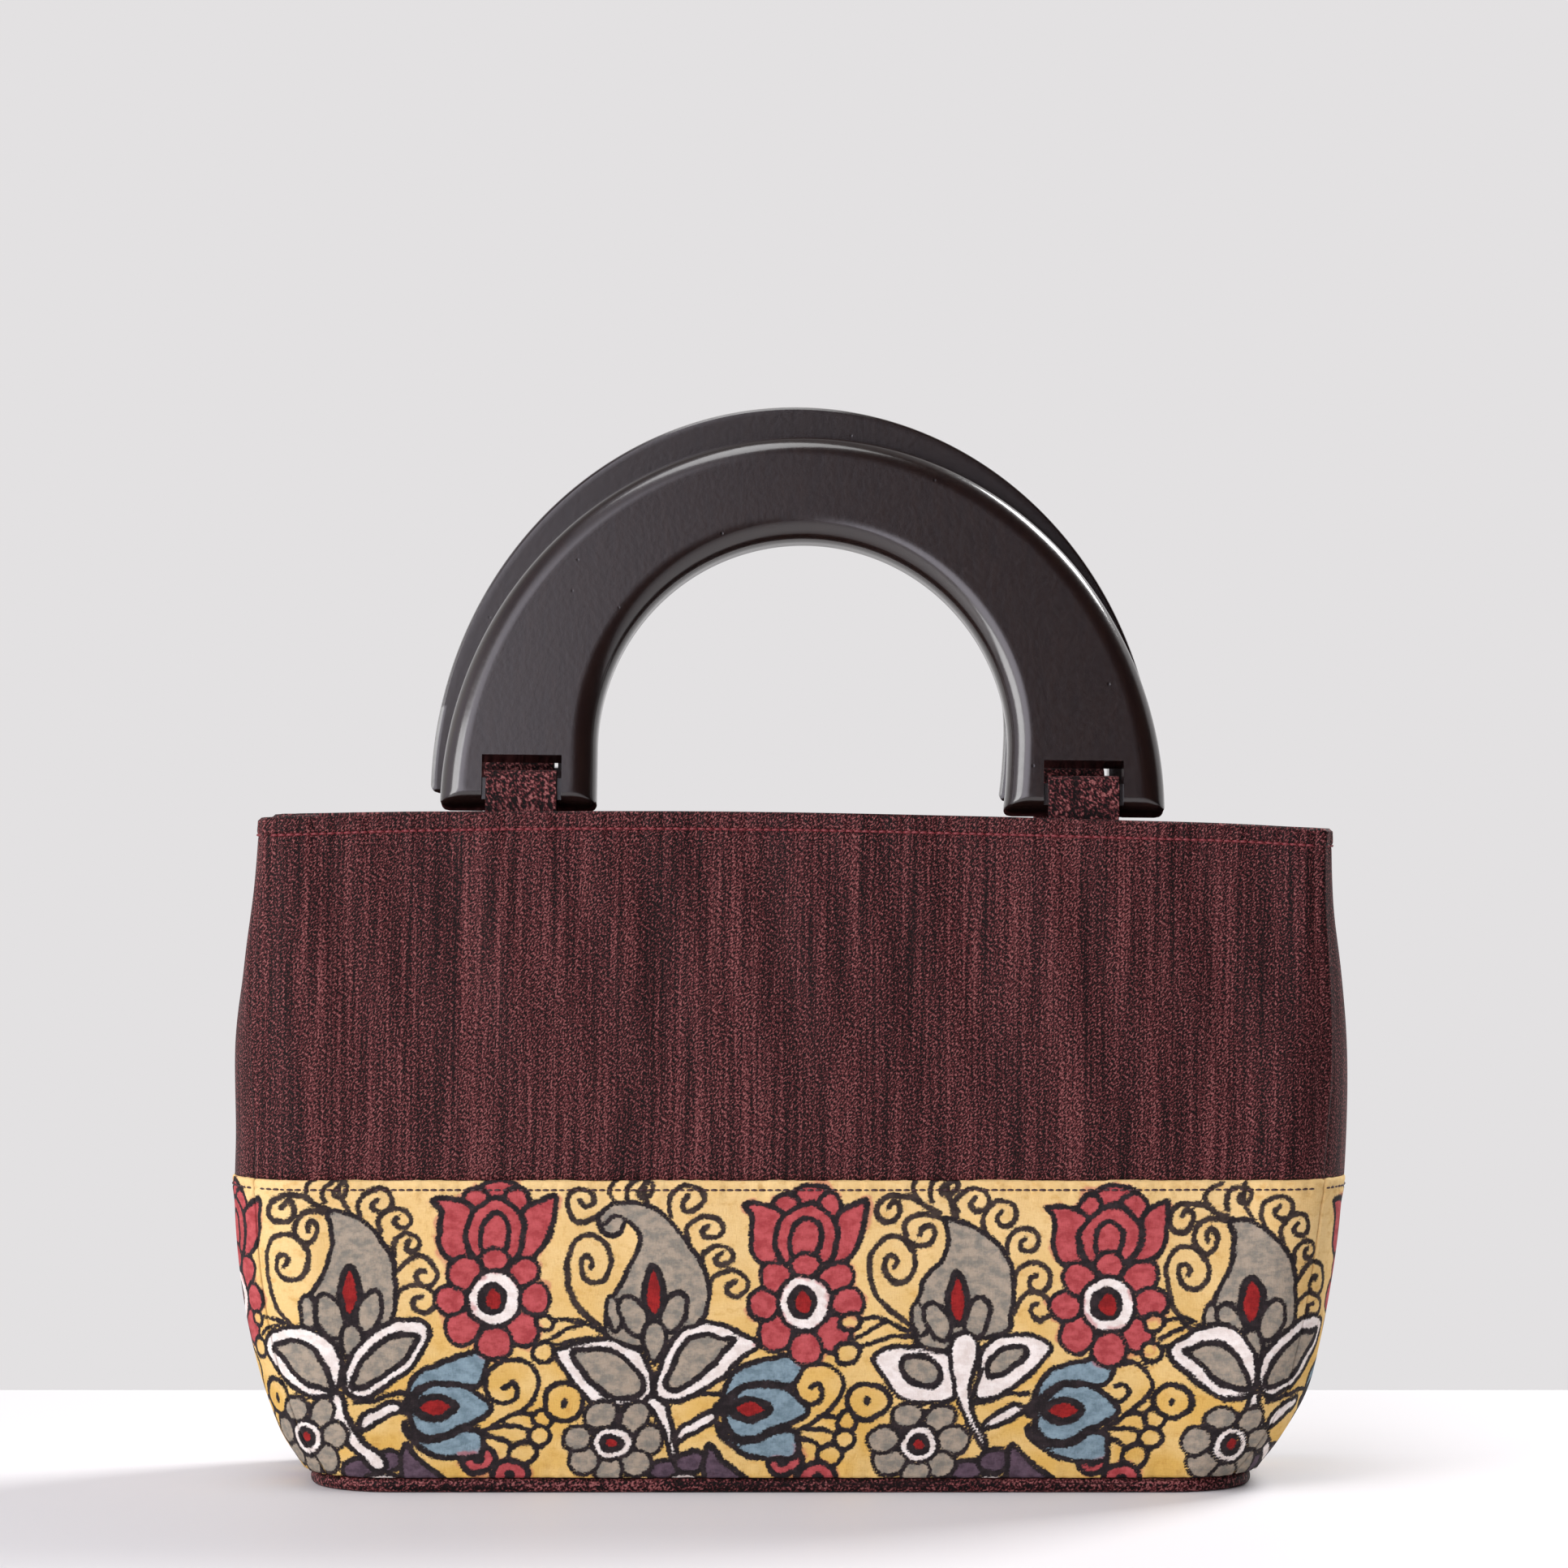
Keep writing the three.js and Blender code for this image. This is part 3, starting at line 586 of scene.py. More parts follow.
LEAVES = (
    ([(4, 32.5), (6, 34.6), (9.5, 36.5), (13.5, 37.6), (18, 37.8), (22, 35.6), (25, 31.4), (25.8, 27),
      (25.2, 22.4), (22.4, 20.2), (18.5, 20), (14.5, 21.2), (10.5, 23.8), (6.5, 27.4), (4.2, 30)],
     [(7.2, 31.6), (10.5, 33), (14, 33.7), (17, 33.3), (19.6, 31.5), (21.6, 28.5), (23.2, 25), (23.8, 22),
      (20.5, 22.3), (17, 23.2), (14, 25.2), (11, 28.5), (8.5, 30.4)]),
    ([(3, 31), (7, 32.8), (12, 34.4), (16, 34.8), (20.5, 33.2), (24, 31.2), (26, 27), (26.8, 22), (25, 19.2),
      (21, 18.2), (16, 17.6), (12, 19), (8.5, 22.4), (5.5, 26.4)],
     [(7.4, 30.8), (11, 31.8), (15, 32), (19, 30.2), (22.4, 27), (24.6, 23.4), (23.6, 21), (20, 19.8),
      (16, 20.4), (13, 23), (10, 26.6)]),
    ([(5.4, 29.4), (8.6, 32), (13.5, 32.6), (19, 32), (25.4, 30), (26, 25), (25.6, 20.4), (20.5, 19.2),
      (15.6, 19.2), (11.6, 20.6), (8.4, 25)], oval(17.4, 26.8, 5, 3.1, -24)),
)
RIGHT_LEAVES = (
    ([(26.8, 22), (26.3, 26), (27.6, 30), (30.5, 34), (34, 36.7), (38, 38.6), (42, 39.4), (46, 38.7),
      (47.7, 37), (47, 33.5), (45, 30), (42, 26.5), (38, 23.4), (34, 21), (29.6, 19.8)],
     [(28.2, 22.6), (29.2, 26.5), (31.6, 30.5), (35, 33.6), (38.5, 35.4), (42, 35.5), (45, 35.2), (43, 31.5),
      (39.5, 28), (36, 25), (32, 22.8)]),
    ([(27.6, 20.6), (28, 26), (30, 31), (33, 35.5), (37, 38.2), (41, 39.2), (45.5, 38.2), (49.5, 36),
      (52.6, 33.4), (50, 30.4), (46, 27), (41, 23), (36, 20), (31, 18.8)],
     [(30, 22.6), (31, 26.6), (33.2, 31), (36, 34.4), (40, 35.8), (44, 34.8), (47.4, 34.8), (44.6, 31.4),
      (40.6, 27.4), (36.6, 23.8), (33, 21.8)]),
    ([(30.8, 20), (31.6, 25), (32.6, 31), (36, 34.7), (40.5, 36.2), (45, 35.8), (49.4, 33.6), (47.5, 30),
      (44.5, 26), (40.5, 22.4), (36, 20)], oval(38.4, 29, 5.6, 2.5, 38)),
)
STEMS = (
    ([(24, 20.6), (23.8, 16), (26.8, 10.5), (31, 6), (35.2, 1.6), (37.4, 2.6), (36.6, 5.2), (32, 9.4),
      (29, 13.4), (27.2, 17), (26, 20.8)], [(31.4, 12), (30.6, 15), (34, 17.3), (39.4, 19), (40.6, 16.8),
                                            (36, 14.8)]),
    ([(25, 19.4), (27, 20.4), (29.8, 18.6), (31.4, 15), (32.4, 11), (33.9, 6.4), (32.6, 5.4), (30.8, 10),
      (28.6, 14), (26.4, 17)], [(33.4, 9.2), (33.6, 11.8), (37, 14.4), (41.6, 16.6), (42.6, 14.2),
                                (38.5, 11.8)]),
    ([(24.6, 32), (24.9, 27), (25.6, 22), (27.4, 17.4), (29.4, 13.4), (32, 9.2), (34, 7), (34.4, 8.8),
      (32, 13.5), (30.2, 17.2), (29.6, 21), (29.8, 24.6), (31.2, 28.5), (31.6, 33), (29.2, 36), (26, 35.2)],
     [(33.4, 12.4), (34, 14.6), (37, 17), (41.6, 18.2), (43.4, 16.6), (39, 14.6)]),
)


def white_leaves(ink):
    for outer, inner in (LEAVES[ink.kind], RIGHT_LEAVES[ink.kind]):
        ink.fill("white", outer, 1.5)
        ink.fill("grey", inner, 1.75)
    stem, branch = STEMS[ink.kind]
    ink.draw([(29, 18.8), (34, 19.4), (39, 20.8), (44, 20.8)], 1.5)
    ink.fill("white", stem, 1.5)
    ink.fill("white", branch, 1.5)


def blue_bud(ink):
    ink.fill("blue", [(-7, 3), (-6, 7), (-3, 10), (2, 12), (7, 13.4), (12, 13.6), (12.6, 10), (10.6, 6.4),
                      (6, 6.4), (1, 6.8), (-4, 5), (-6.6, 2)], 1.6)
    ink.fill("blue", [(-7.6, -3.4), (-5, -6.6), (-1, -8.2), (3.6, -7.2), (8, -5.2), (11.6, -6.4),
                      (11.7, -11.8), (6, -12.3), (1, -11.8), (-3.4, -9.4), (-7, -6)], 1.6)
    ink.fill("blue", [(-6.2, 0), (-4, 3.5), (-1, 5.8), (3.5, 6.4), (8, 5.5), (11.5, 3), (14.2, 0), (11, -3),
                      (7, -4.6), (2, -6.9), (-2.6, -7), (-5.8, -3.5)], 1.7)
    ink.fill("ink", oval(0, 0, 5.8, 3.5), 0)
    ink.fill("red", [(-4.4, 0), (-2.2, 1.9), (0.8, 2.3), (3.6, 0.8), (4.4, -0.2), (2.2, -1.8), (-1, -2.1)], 0)
    ink.fill("ink", oval(-7.3, 0.3, 1.9, 1.9), 0)


def lotus_and_rosette(ink):
    left = [(-15.6, 24.3), (-13.8, 21.6), (-13.6, 17.6), (-13.8, 14.1), (-12.6, 11.1), (-10.1, 9.6),
            (-6.1, 10.2), (-7.3, 13.1), (-7.8, 16.1), (-6.8, 18.8), (-5.4, 20.8), (-7.1, 23.1), (-10.6, 24.4)]
    right = [(14.2, 25), (13.9, 19.6), (13.4, 15.6), (11.4, 12.1), (8.9, 10.4), (5.9, 10.6), (7.2, 14.1),
             (7.7, 18.1), (7, 21.1), (9.2, 23.3), (12.4, 24.6)]
    rear = [(-8.4, 22.6), (-8, 25.4), (-5.4, 27.2), (-2.6, 26), (-2.4, 23.6), (-5, 21)]
    ink.fill("pink", [(-4.4, 25.4), (-3, 28), (0.6, 29), (4.4, 28.2), (6.2, 26), (3.6, 24), (-1, 24)])
    ink.fill("pink", rear)
    ink.fill("pink", mirrored(rear))
    ink.fill("pink", left, 1.6)
    ink.fill("pink", right, 1.6)
    ink.fill("pink", [(-5.2, 10.2), (-7.4, 14.1), (-7.6, 17.1), (-6.1, 20.4), (-3.6, 23), (-0.1, 24.8),
                      (3, 23.8), (5.9, 21.3), (7.3, 18.1), (7, 14.4), (5.4, 10.8), (2, 9.4), (-2.4, 9.4)],
                      1.6)
    ink.fill("pink", [(-0.2, 21), (2.6, 19.4), (3.4, 16), (2.6, 12.8), (0, 11.8), (-3, 12.4), (-3.8, 15.4),
                      (-2.8, 18.8)], 1.6)
    ink.fill("ink", oval(0, 0, 9.4, 9.4), 0)
    # Petals of the rosette. Columns: across, up, half width, half height, tilt.
    for petal in ((0, 9.6, 3.5, 2.9, 0), (7.5, 6.7, 4.0, 3.3, 35), (10.4, 0.2, 3.6, 3.5, 0),
                  (7.1, -7.3, 3.9, 4.1, 30), (0.2, -10.9, 3.9, 3.6, 0), (-7.6, -7.2, 4.0, 4.0, -40),
                  (-10.6, -0.3, 3.7, 3.5, 0), (-7.3, 6.3, 3.8, 3.5, -40)):
        ink.fill("pink", oval(petal[0], petal[1], petal[2] * 1.08, petal[3] * 1.12, petal[4]), 1.3)
    ink.fill("white", oval(0, 0, 6.7, 6.9), 1.4)
    ink.fill("ink", oval(-0.6, 0.1, 4.0, 4.2), 0)
    ink.fill("red", [(-0.6, 3.2), (1.4, 1.8), (2.2, -0.8), (1.0, -2.9), (-1.4, -2.6), (-3.0, -0.6),
                     (-2.4, 1.8)], 0)


def grey_flower(ink):
    ink.fill("ink", oval(0, 0, 9.4, 9.2), 0)
    for x, y, wide, high, tilt in ((-3.1, 7.2, 3.9, 2.9, 10), (4.9, 6.5, 3.2, 3.6, -35),
                                   (8.6, 1.0, 3.6, 3.3, 0), (6.0, -5.2, 3.6, 3.3, 20),
                                   (-0.1, -7.2, 3.5, 3.0, 0), (-6.6, -4.6, 3.8, 3.1, -15),
                                   (-8.5, 1.1, 3.6, 3.2, 0)):
        ink.fill("grey", oval(x, y, wide * 1.04, high * 1.1, tilt), 1.25)
    ink.fill("white", oval(0.2, 0, 4.9, 4.7), 1.3)
    ink.fill("ink", oval(0.2, 0, 3.1, 3.0), 0)
    ink.fill("red", oval(0.3, 0.1, 1.9, 1.8, sides=12), 0)


def small_growth(ink):
    """Striped shoots, rings, dots and the purple petals between the large motifs."""
    for route in ([(2.4, 39), (6, 39.6), (10, 38.8), (14.6, 36)], [(2, 34.6), (6, 37), (10, 38.6)],
                  [(1.4, 32.2), (6, 33.6), (11, 35), (15, 35)]):
        ink.draw(route, 1.3)
    for x, y, reach in ((0.4, 38.6, 2.3), (0, 31.2, 2.7)):
        ink.fill(None, oval(x, y, reach, reach * 0.9), 1.4)
    ink.fill(None, oval(5, 19.2, 4.9, 4.5), 1.7)
    ink.fill("ink", oval(5, 19, 0.9, 1.2, sides=10), 0)
    ink.fill("purple", oval(31, 1.8, 5.2, 2.9, 4), 1.5)
    ink.fill("purple", oval(37, 4.2, 3.9, 2.8, 10), 1.5)
    ink.fill("white", oval(36.2, -0.6, 4, 1.5), 1.3)
    ink.fill("purple", [(40.4, 5.6), (41.6, 8.4), (45, 5), (51, 0.4), (53, -2.4), (42, -2.6), (40.6, 1)], 1.6)


def scroll_and_rings(ink):
    ink.draw([(-9, -13), (-4.5, -10.3), (-0.5, -7.4), (3, -4), (4.6, 0), (3, 3.7), (-0.5, 5.4), (-4.5, 4.8),
              (-7.5, 2.4), (-8.1, -1.2), (-6.4, -4.2), (-3.4, -5), (-1, -3), (-1.9, -0.2), (-4.1, -0.9)], 1.5)
    for x, y, wide, high in ((5.6, -9, 2.5, 2.7), (5.2, -13.8, 2.6, 2.5), (1.6, -18, 3.3, 2.6)):
        ink.fill(None, oval(x, y, wide, high), 1.5)
    for route in ([(-1.6, -8.2), (1, -7.6), (3.4, -8.4)], [(-6.4, -11.6), (-1, -11.4), (2.8, -12.6)],
                  [(-8.6, -13.4), (-3, -14.6), (-0.6, -16.4)]):
        ink.draw(route, 1.5)
    for x, y, reach in ((-9.2, -19.4, 3.9), (-1.2, -23.6, 4.6)):
        ink.fill("pink", oval(x, y, reach, reach * 0.86), 1.7)
        ink.fill("ink", oval(x - 0.1, y, 1.5, 1.5, sides=12), 0)


def chart_band(run, from_base, start, shifts):
    """Print every repeat that reaches this stretch of the band."""
    across = (run - start) / SQUARE
    up = from_base / SQUARE
    # A hand-drawn line strays by up to about a third of a square from the chart.
    stray = 0.36 * ripple(across + 0.4 * up, 5, (13, 21, 34)) + 0.14 * ripple(up - 0.3 * across, 6, (5, 8))
    rise = 0.36 * ripple(up + 0.35 * across, 7, (12, 19, 31)) + 0.14 * ripple(across + 0.6 * up, 8, (5, 7))
    ink = HandPrint(across + stray, up + rise)
    for turn in range(math.floor(across.min() / REPEAT) - 1, math.ceil(across.max() / REPEAT) + 1):
        ink.kind, *row = shifts.get(turn, shifts[turn % 4])
        corner = np.array([REPEAT * turn, 0.0])
        for motif, place in ((small_growth, (0, 0)), (scroll_and_rings, (69 + row[8], 24 + row[9])),
                             (paisley, (row[0], row[1])), (white_leaves, (row[4] * 0.3, 0)),
                             (grey_flower, (17.5 + row[6], 8.8 + row[7])),
                             (blue_bud, (51 + row[4], 17 + row[5])),
                             (lotus_and_rosette, (62.6 + row[2], 44.4 + row[3]))):
            ink.shift = corner + place
            motif(ink)
    return ink.layers


def band_relief(seed, ridge):
    def relief(run, from_base, turn):
        from_top = BAND_HEIGHT - from_base
        lap = 0.55 * smooth_step(9 - from_top, 0, 7)
        roll = -0.75 * smooth_step(0.8 - from_top, 0, 0.8)
        groove = -0.35 * np.exp(-((from_top - 2.7) / 0.5) ** 2)
        pucker = ripple(run, seed, (3.3, 5.1, 8.3)) * 0.16 * np.exp(-((from_top - 2.5) / 3) ** 2)
        foot = ripple(run, seed + 3, (4.1, 7.9)) * 0.15 * np.exp(-(from_base / 3) ** 2)
        wave = ripple(run + 0.3 * from_base, seed + 1, (19, 31, 43)) * 0.2
        edge = 1 - np.abs(turn)
        seam = ridge * -0.4 * np.exp(-(edge / 0.006) ** 2)
        return lap + roll + groove + pucker + foot + wave * smooth_step(edge, 0, 0.1) + seam
    return relief


printed_bands = []
for order, (name, kind, side) in enumerate(PIECES):
    across = 396 if kind == "face" else 120
    up = 108
    piece, run, from_base = grid_piece(
        f"{name}_printed_wall", across, up, to_seam,
        lambda share: share * (BAND_SHARE + 0.0004), form_for(kind, side), band_relief(31 + 5 * order, 1.0))
    add_wall(piece, run, from_base)
    # The back is cut further along the same cloth, so its motifs stand elsewhere.
    layers = chart_band(run + (31.0 if name == "back" else 0.0), from_base, FIRST_REPEAT, REPEAT_SHIFTS)
    outer = len(run)
    for layer, gap in layers.items():
        values = np.full(len(piece.data.vertices), 6.0)
        values[:outer] = gap
        piece.data.attributes.new(layer, "FLOAT", "POINT").data.foreach_set("value", values)
    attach(piece, "root")
    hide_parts(f"{name}_printed_band" if kind == "face" else f"{name}_gusset_band")
    cut = (run.max() - run.min()) * MM, BAND_HEIGHT * MM
    printed_bands.append(piece)


# Hand-coloured cotton: plain weave, iron-black ink laid with a reed pen, and thin plant dyes that
# mottle, soak along the yarns and sometimes stray past the ink.
dyed_cotton, tree, shader = surface_material("hand_dyed_cotton")
cloth = node(tree, "ShaderNodeAttribute", attribute_name="cloth_mm").outputs["Vector"]
inside = node(tree, "ShaderNodeAttribute", attribute_name="inside").outputs["Fac"]


# Patterns of the cloth. Columns: name, size across and up in mm, detail, roughness.
patterns = {}
for label, across_mm, up_mm, detail, rough in (
        ("rag", 0.9, 0.7, 3.0, 0.7), ("soaking", 6.5, 5.0, 2.0, 0.5), ("mottle", 3.4, 2.6, 4.0, 0.62),
        ("cloud", 16, 12, 2.0, 0.5), ("yarn_across", 1.6, 0.42, 1.0, 0.5), ("yarn_up", 0.42, 1.6, 1.0, 0.5)):
    spread = node(tree, "ShaderNodeVectorMath", {0: cloth, 1: (1 / across_mm, 1 / up_mm, 0)},
                  operation="MULTIPLY")
    patterns[label] = node(tree, "ShaderNodeTexNoise", {"Vector": spread.outputs[0], "Scale": 1.0,
                                                        "Detail": detail, "Roughness": rough}).outputs["Fac"]
mottle = patterns["mottle"]
ragged = node(tree, "ShaderNodeMapRange", {"Value": patterns["rag"], "From Min": 0.25, "From Max": 0.75,
                                           "To Min": -0.42, "To Max": 0.42}).outputs[0]
soak = node(tree, "ShaderNodeMapRange", {"Value": patterns["soaking"], "From Min": 0.3, "From Max": 0.7,
                                         "To Min": -1.3, "To Max": 1.3}).outputs[0]
height = node(tree, "ShaderNodeSeparateXYZ", {0: cloth}).outputs["Y"]
# The ground goes from a deep yellow at the foot to a paler one at the fold, in clouds and stains.
colour = linear("#d6ab58")
for value, low, high, share, shade in (
        (patterns["cloud"], 0.38, 0.62, 1.0, "#dfbb76"), (height, 10, 78, 0.62, "#e6c690"),
        (mottle, 0.5, 0.72, 0.45, "#bf8b3a")):
    amount = node(tree, "ShaderNodeMapRange", {"Value": value, "From Min": low, "From Max": high,
                                               "To Max": share},
                  interpolation_type="SMOOTHSTEP")
    colour = node(tree, "ShaderNodeMix", {"Factor": amount.outputs[0], "A": colour, "B": linear(shade)},
                  data_type="RGBA").outputs["Result"]


def laid_on(under, layer, shades, mottled, edges, halo=0.0, stray=0.0):
    """Lay one dye or ink: mottled between two shades inside its outline, ragged at the edge between
    two distances in mm, with a fainter halo that soaks past it."""
    gap = node(tree, "ShaderNodeAttribute", attribute_name=layer).outputs["Fac"]
    uneven = node(tree, "ShaderNodeMath", {0: gap, 1: ragged}, operation="ADD").outputs[0]
    depth = node(tree, "ShaderNodeMapRange", {"Value": mottle, "From Min": mottled[0],
                                              "From Max": mottled[1]},
                 interpolation_type="SMOOTHSTEP")
    body = node(tree, "ShaderNodeMix", {"Factor": depth.outputs[0], "A": linear(shades[0]),
                                        "B": linear(shades[1])}, data_type="RGBA")
    if halo:
        spread = node(tree, "ShaderNodeMath", {0: gap, 1: soak}, operation="ADD").outputs[0]
        faint = node(tree, "ShaderNodeMapRange", {"Value": spread, "From Min": stray, "From Max": stray - 1.1,
                                                  "To Max": halo}, interpolation_type="SMOOTHSTEP")
        under = node(tree, "ShaderNodeMix", {"Factor": faint.outputs[0], "A": under, "B": linear(shades[0])},
                     data_type="RGBA").outputs["Result"]
    cover = node(tree, "ShaderNodeMapRange", {"Value": uneven, "From Min": edges[0], "From Max": edges[1]},
                 interpolation_type="SMOOTHSTEP")
    return node(tree, "ShaderNodeMix", {"Factor": cover.outputs[0], "A": under, "B": body.outputs["Result"]},
                data_type="RGBA").outputs["Result"]


DYE_MOTTLE, DYE_EDGE = (0.36, 0.66), (0.25, -0.25)
for layer, shades, halo, stray in (
        ("white", ("#efe6e0", "#ddd0c8"), 0.0, 0.0), ("grey", ("#a59684", "#7f7a70"), 0.35, 0.4),
        ("blue", ("#8298a3", "#687d87"), 0.4, 0.3), ("purple", ("#5d4a57", "#453641"), 0.0, 0.0),
        ("pink", ("#b85254", "#9c3a3d"), 0.55, 1.3), ("red", ("#98201f", "#7a1516"), 0.0, 0.0)):
    colour = laid_on(colour, layer, shades, DYE_MOTTLE, DYE_EDGE, halo, stray)
colour = laid_on(colour, "sepia", ("#2a201e", "#41352f"), (0.4, 0.65), (0.34, -0.1))
colour = laid_on(colour, "ink", ("#1d1719", "#2f2628"), (0.42, 0.68), (0.22, -0.2))
grain = node(tree, "ShaderNodeMix", {"Factor": 0.5, "A": patterns["yarn_across"], "B": patterns["yarn_up"]},
             data_type="RGBA").outputs["Result"]
colour = node(tree, "ShaderNodeMix", {"Factor": 0.35, "A": colour, "B": grain}, data_type="RGBA",
              blend_type="SOFT_LIGHT").outputs["Result"]
colour = node(tree, "ShaderNodeMix", {"Factor": inside, "A": colour, "B": linear("#4a2427")},
              data_type="RGBA").outputs["Result"]
tree.links.new(colour, shader.inputs["Base Color"])
weave = node(tree, "ShaderNodeMath", {0: patterns["yarn_across"], 1: patterns["yarn_up"]}, operation="ADD")
bump = node(tree, "ShaderNodeBump", {"Height": weave.outputs[0], "Strength": 0.4, "Distance": 0.3 * MM})
tree.links.new(bump.outputs["Normal"], shader.inputs["Normal"])
shader.inputs["Roughness"].default_value = 0.85
shader.inputs["Specular IOR Level"].default_value = 0.25
for piece in printed_bands:
    piece.data.materials.append(dyed_cotton)


# Base: a stiff board wrapped in the same silk, a little deeper and shorter than the walls' foot.
# Its edge is soft, and the walls' lower seam sits on it.
BASE_LIP, BASE_INSET = 0.6, 1.7
half_length, half_depth, base_corner, _, base_lean = section_at(np.array(0.0))
half_length, half_depth, base_corner = half_length - BASE_INSET, half_depth + BASE_LIP, float(base_corner)
bpy.ops.object.select_all(action="DESELECT")
bpy.ops.mesh.primitive_cube_add(size=1, location=(0, 0, 0))
base = bpy.context.object
base.name = "silk_covered_base"
base.scale = (2 * half_length * MM, 2 * half_depth * MM, 3.8 * MM)
base.location = (base_lean * MM, 0, 1.9 * MM)
bpy.ops.object.transform_apply(location=True, rotation=False, scale=True)
bpy.context.tool_settings.mesh_select_mode = (False, True, False)
bpy.ops.object.mode_set(mode="EDIT")
bpy.ops.mesh.select_all(action="DESELECT")
bpy.ops.object.mode_set(mode="OBJECT")
for edge in base.data.edges:
    a, b = (base.data.vertices[at].co for at in edge.vertices)
    edge.select = abs(a.z - b.z) > 1 * MM
bpy.ops.object.mode_set(mode="EDIT")
bpy.ops.mesh.bevel(offset=base_corner * MM, segments=16, affect="EDGES")
bpy.ops.mesh.select_all(action="DESELECT")
bpy.ops.object.mode_set(mode="OBJECT")
for edge in base.data.edges:
    a, b = (base.data.vertices[at].co for at in edge.vertices)
    edge.select = abs(a.z - b.z) < 0.01 * MM
bpy.ops.object.mode_set(mode="EDIT")
bpy.ops.mesh.bevel(offset=1.5 * MM, segments=4, affect="EDGES")
bpy.ops.object.mode_set(mode="OBJECT")
base.data.polygons.foreach_set("use_smooth", np.ones(len(base.data.polygons), bool))


base_silk = shot_silk("raw_silk_base", False, (0, 0.6, 0), (0.7, 0.7, 0.6), (30, 3, 1.6), (40, 4, 0.8),
                      (60, 40, 40))
base.data.materials.append(base_silk)
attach(base, "root")
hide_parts("base_panel")


# Handles: two arches sawn from a 12 mm board of dark hardwood. The outward face is rounded over
# by a broad cutter, the inward one only broken, and both are sprayed with dark lacquer.
HANDLE_WIDTH, HANDLE_THICKNESS, ARCH_BAND, FOOT_WIDTH, INNER_SPRING = 198.8, 12.0, 29.7, 43.0, 17.5
FACE_ROUND, END_ROUND, BACK_ROUND, FOOT_ROUND = 6.4, 4.2, 1.0, 2.4
SLOT_WIDTH, SLOT_HEIGHT, BAR_HEIGHT, BAR_RECESS, SLOT_FROM_EDGE = 21.8, 6.2, 7.6, 1.4, 11.6
SLOT_REACH = HANDLE_WIDTH / 2 - SLOT_FROM_EDGE - SLOT_WIDTH / 2
STRAP_WIDTH, STRAP_THICKNESS, STRAP_GAP = 19.4, 2.3, 0.3
HEM_EXTRA, SEAM_GAP = 0.8, 0.3


def inside_hem(side, shift):
    """Depth of the innermost line of the hem over both straps."""
    places = shift + np.concatenate([foot * SLOT_REACH + np.linspace(-0.5, 0.5, 5) * STRAP_WIDTH
                                     for foot in (-1, 1)])
    depths = np.abs(face_form(places / (RIM_WIDTH / 2), np.ones_like(places), side)[0][:, 1])
    return side * (depths.min() - WALL - HEM_EXTRA - SEAM_GAP)


FRONT_HEIGHT, BACK_LEAN = 105.3, math.radians(1.2)
STRAP_REACH = HANDLE_THICKNESS / 2 - BAR_RECESS + STRAP_GAP + STRAP_THICKNESS
front_plane = inside_hem(-1, 3.1) + STRAP_REACH
back_plane = inside_hem(1, 0.9) - STRAP_REACH
back_top = back_plane - FRONT_HEIGHT * math.sin(BACK_LEAN)
front_lean = math.asin((back_top - front_plane - HANDLE_THICKNESS - 0.6) / (FRONT_HEIGHT - 3.4))
# Columns: name, side, width, height, plane, lean, roll, shift, height of the feet over the table.
HANDLES = (
    ("front", -1, HANDLE_WIDTH, FRONT_HEIGHT, front_plane, front_lean, math.radians(-0.6), 3.1,
     BODY_HEIGHT + 0.1),
    ("back", 1, 203.0, 109.2, back_plane, -BACK_LEAN, math.radians(-0.9), 0.9, BODY_HEIGHT + 2.8),
)


def arch_point(share, across, width, height):
    """Point of the arch's face, its width there and the held share of that width. share runs from the
    left foot to the right, across from the inner edge to the outer."""
    outer_half, inner_half = width / 2, width / 2 - FOOT_WIDTH
    leg, first = 0.11, math.radians(9.8)
    bend = np.clip((share - leg) / (1 - 2 * leg), 0, 1)
    left_climb, right_climb = np.clip(share / leg, 0, 1), np.clip((1 - share) / leg, 0, 1)
    outer_angle = first * left_climb + (math.pi - 2 * first) * bend + first * (1 - right_climb)
    outer_x, outer_z = -outer_half * np.cos(outer_angle), height * np.sin(outer_angle)
    inner_x = -inner_half * np.cos(math.pi * bend)
    inner_z = INNER_SPRING * np.minimum(left_climb, right_climb) \
        + (height - ARCH_BAND - INNER_SPRING) * np.sin(math.pi * bend)
    # The right foot flares a little towards the hand opening.
    inner_x = inner_x - 1.5 * np.where(share > 0.5, np.exp(-inner_z / 9), 0)
    wide = np.hypot(outer_x - inner_x, outer_z - inner_z)
    low_z = np.clip(FOOT_ROUND - np.minimum(inner_z, outer_z), 0, FOOT_ROUND)
    held = (FOOT_ROUND - np.sqrt(FOOT_ROUND ** 2 - low_z ** 2)) / wide
    held = held + across * (1 - 2 * held)
    return inner_x + (outer_x - inner_x) * held, inner_z + (outer_z - inner_z) * held, wide, held


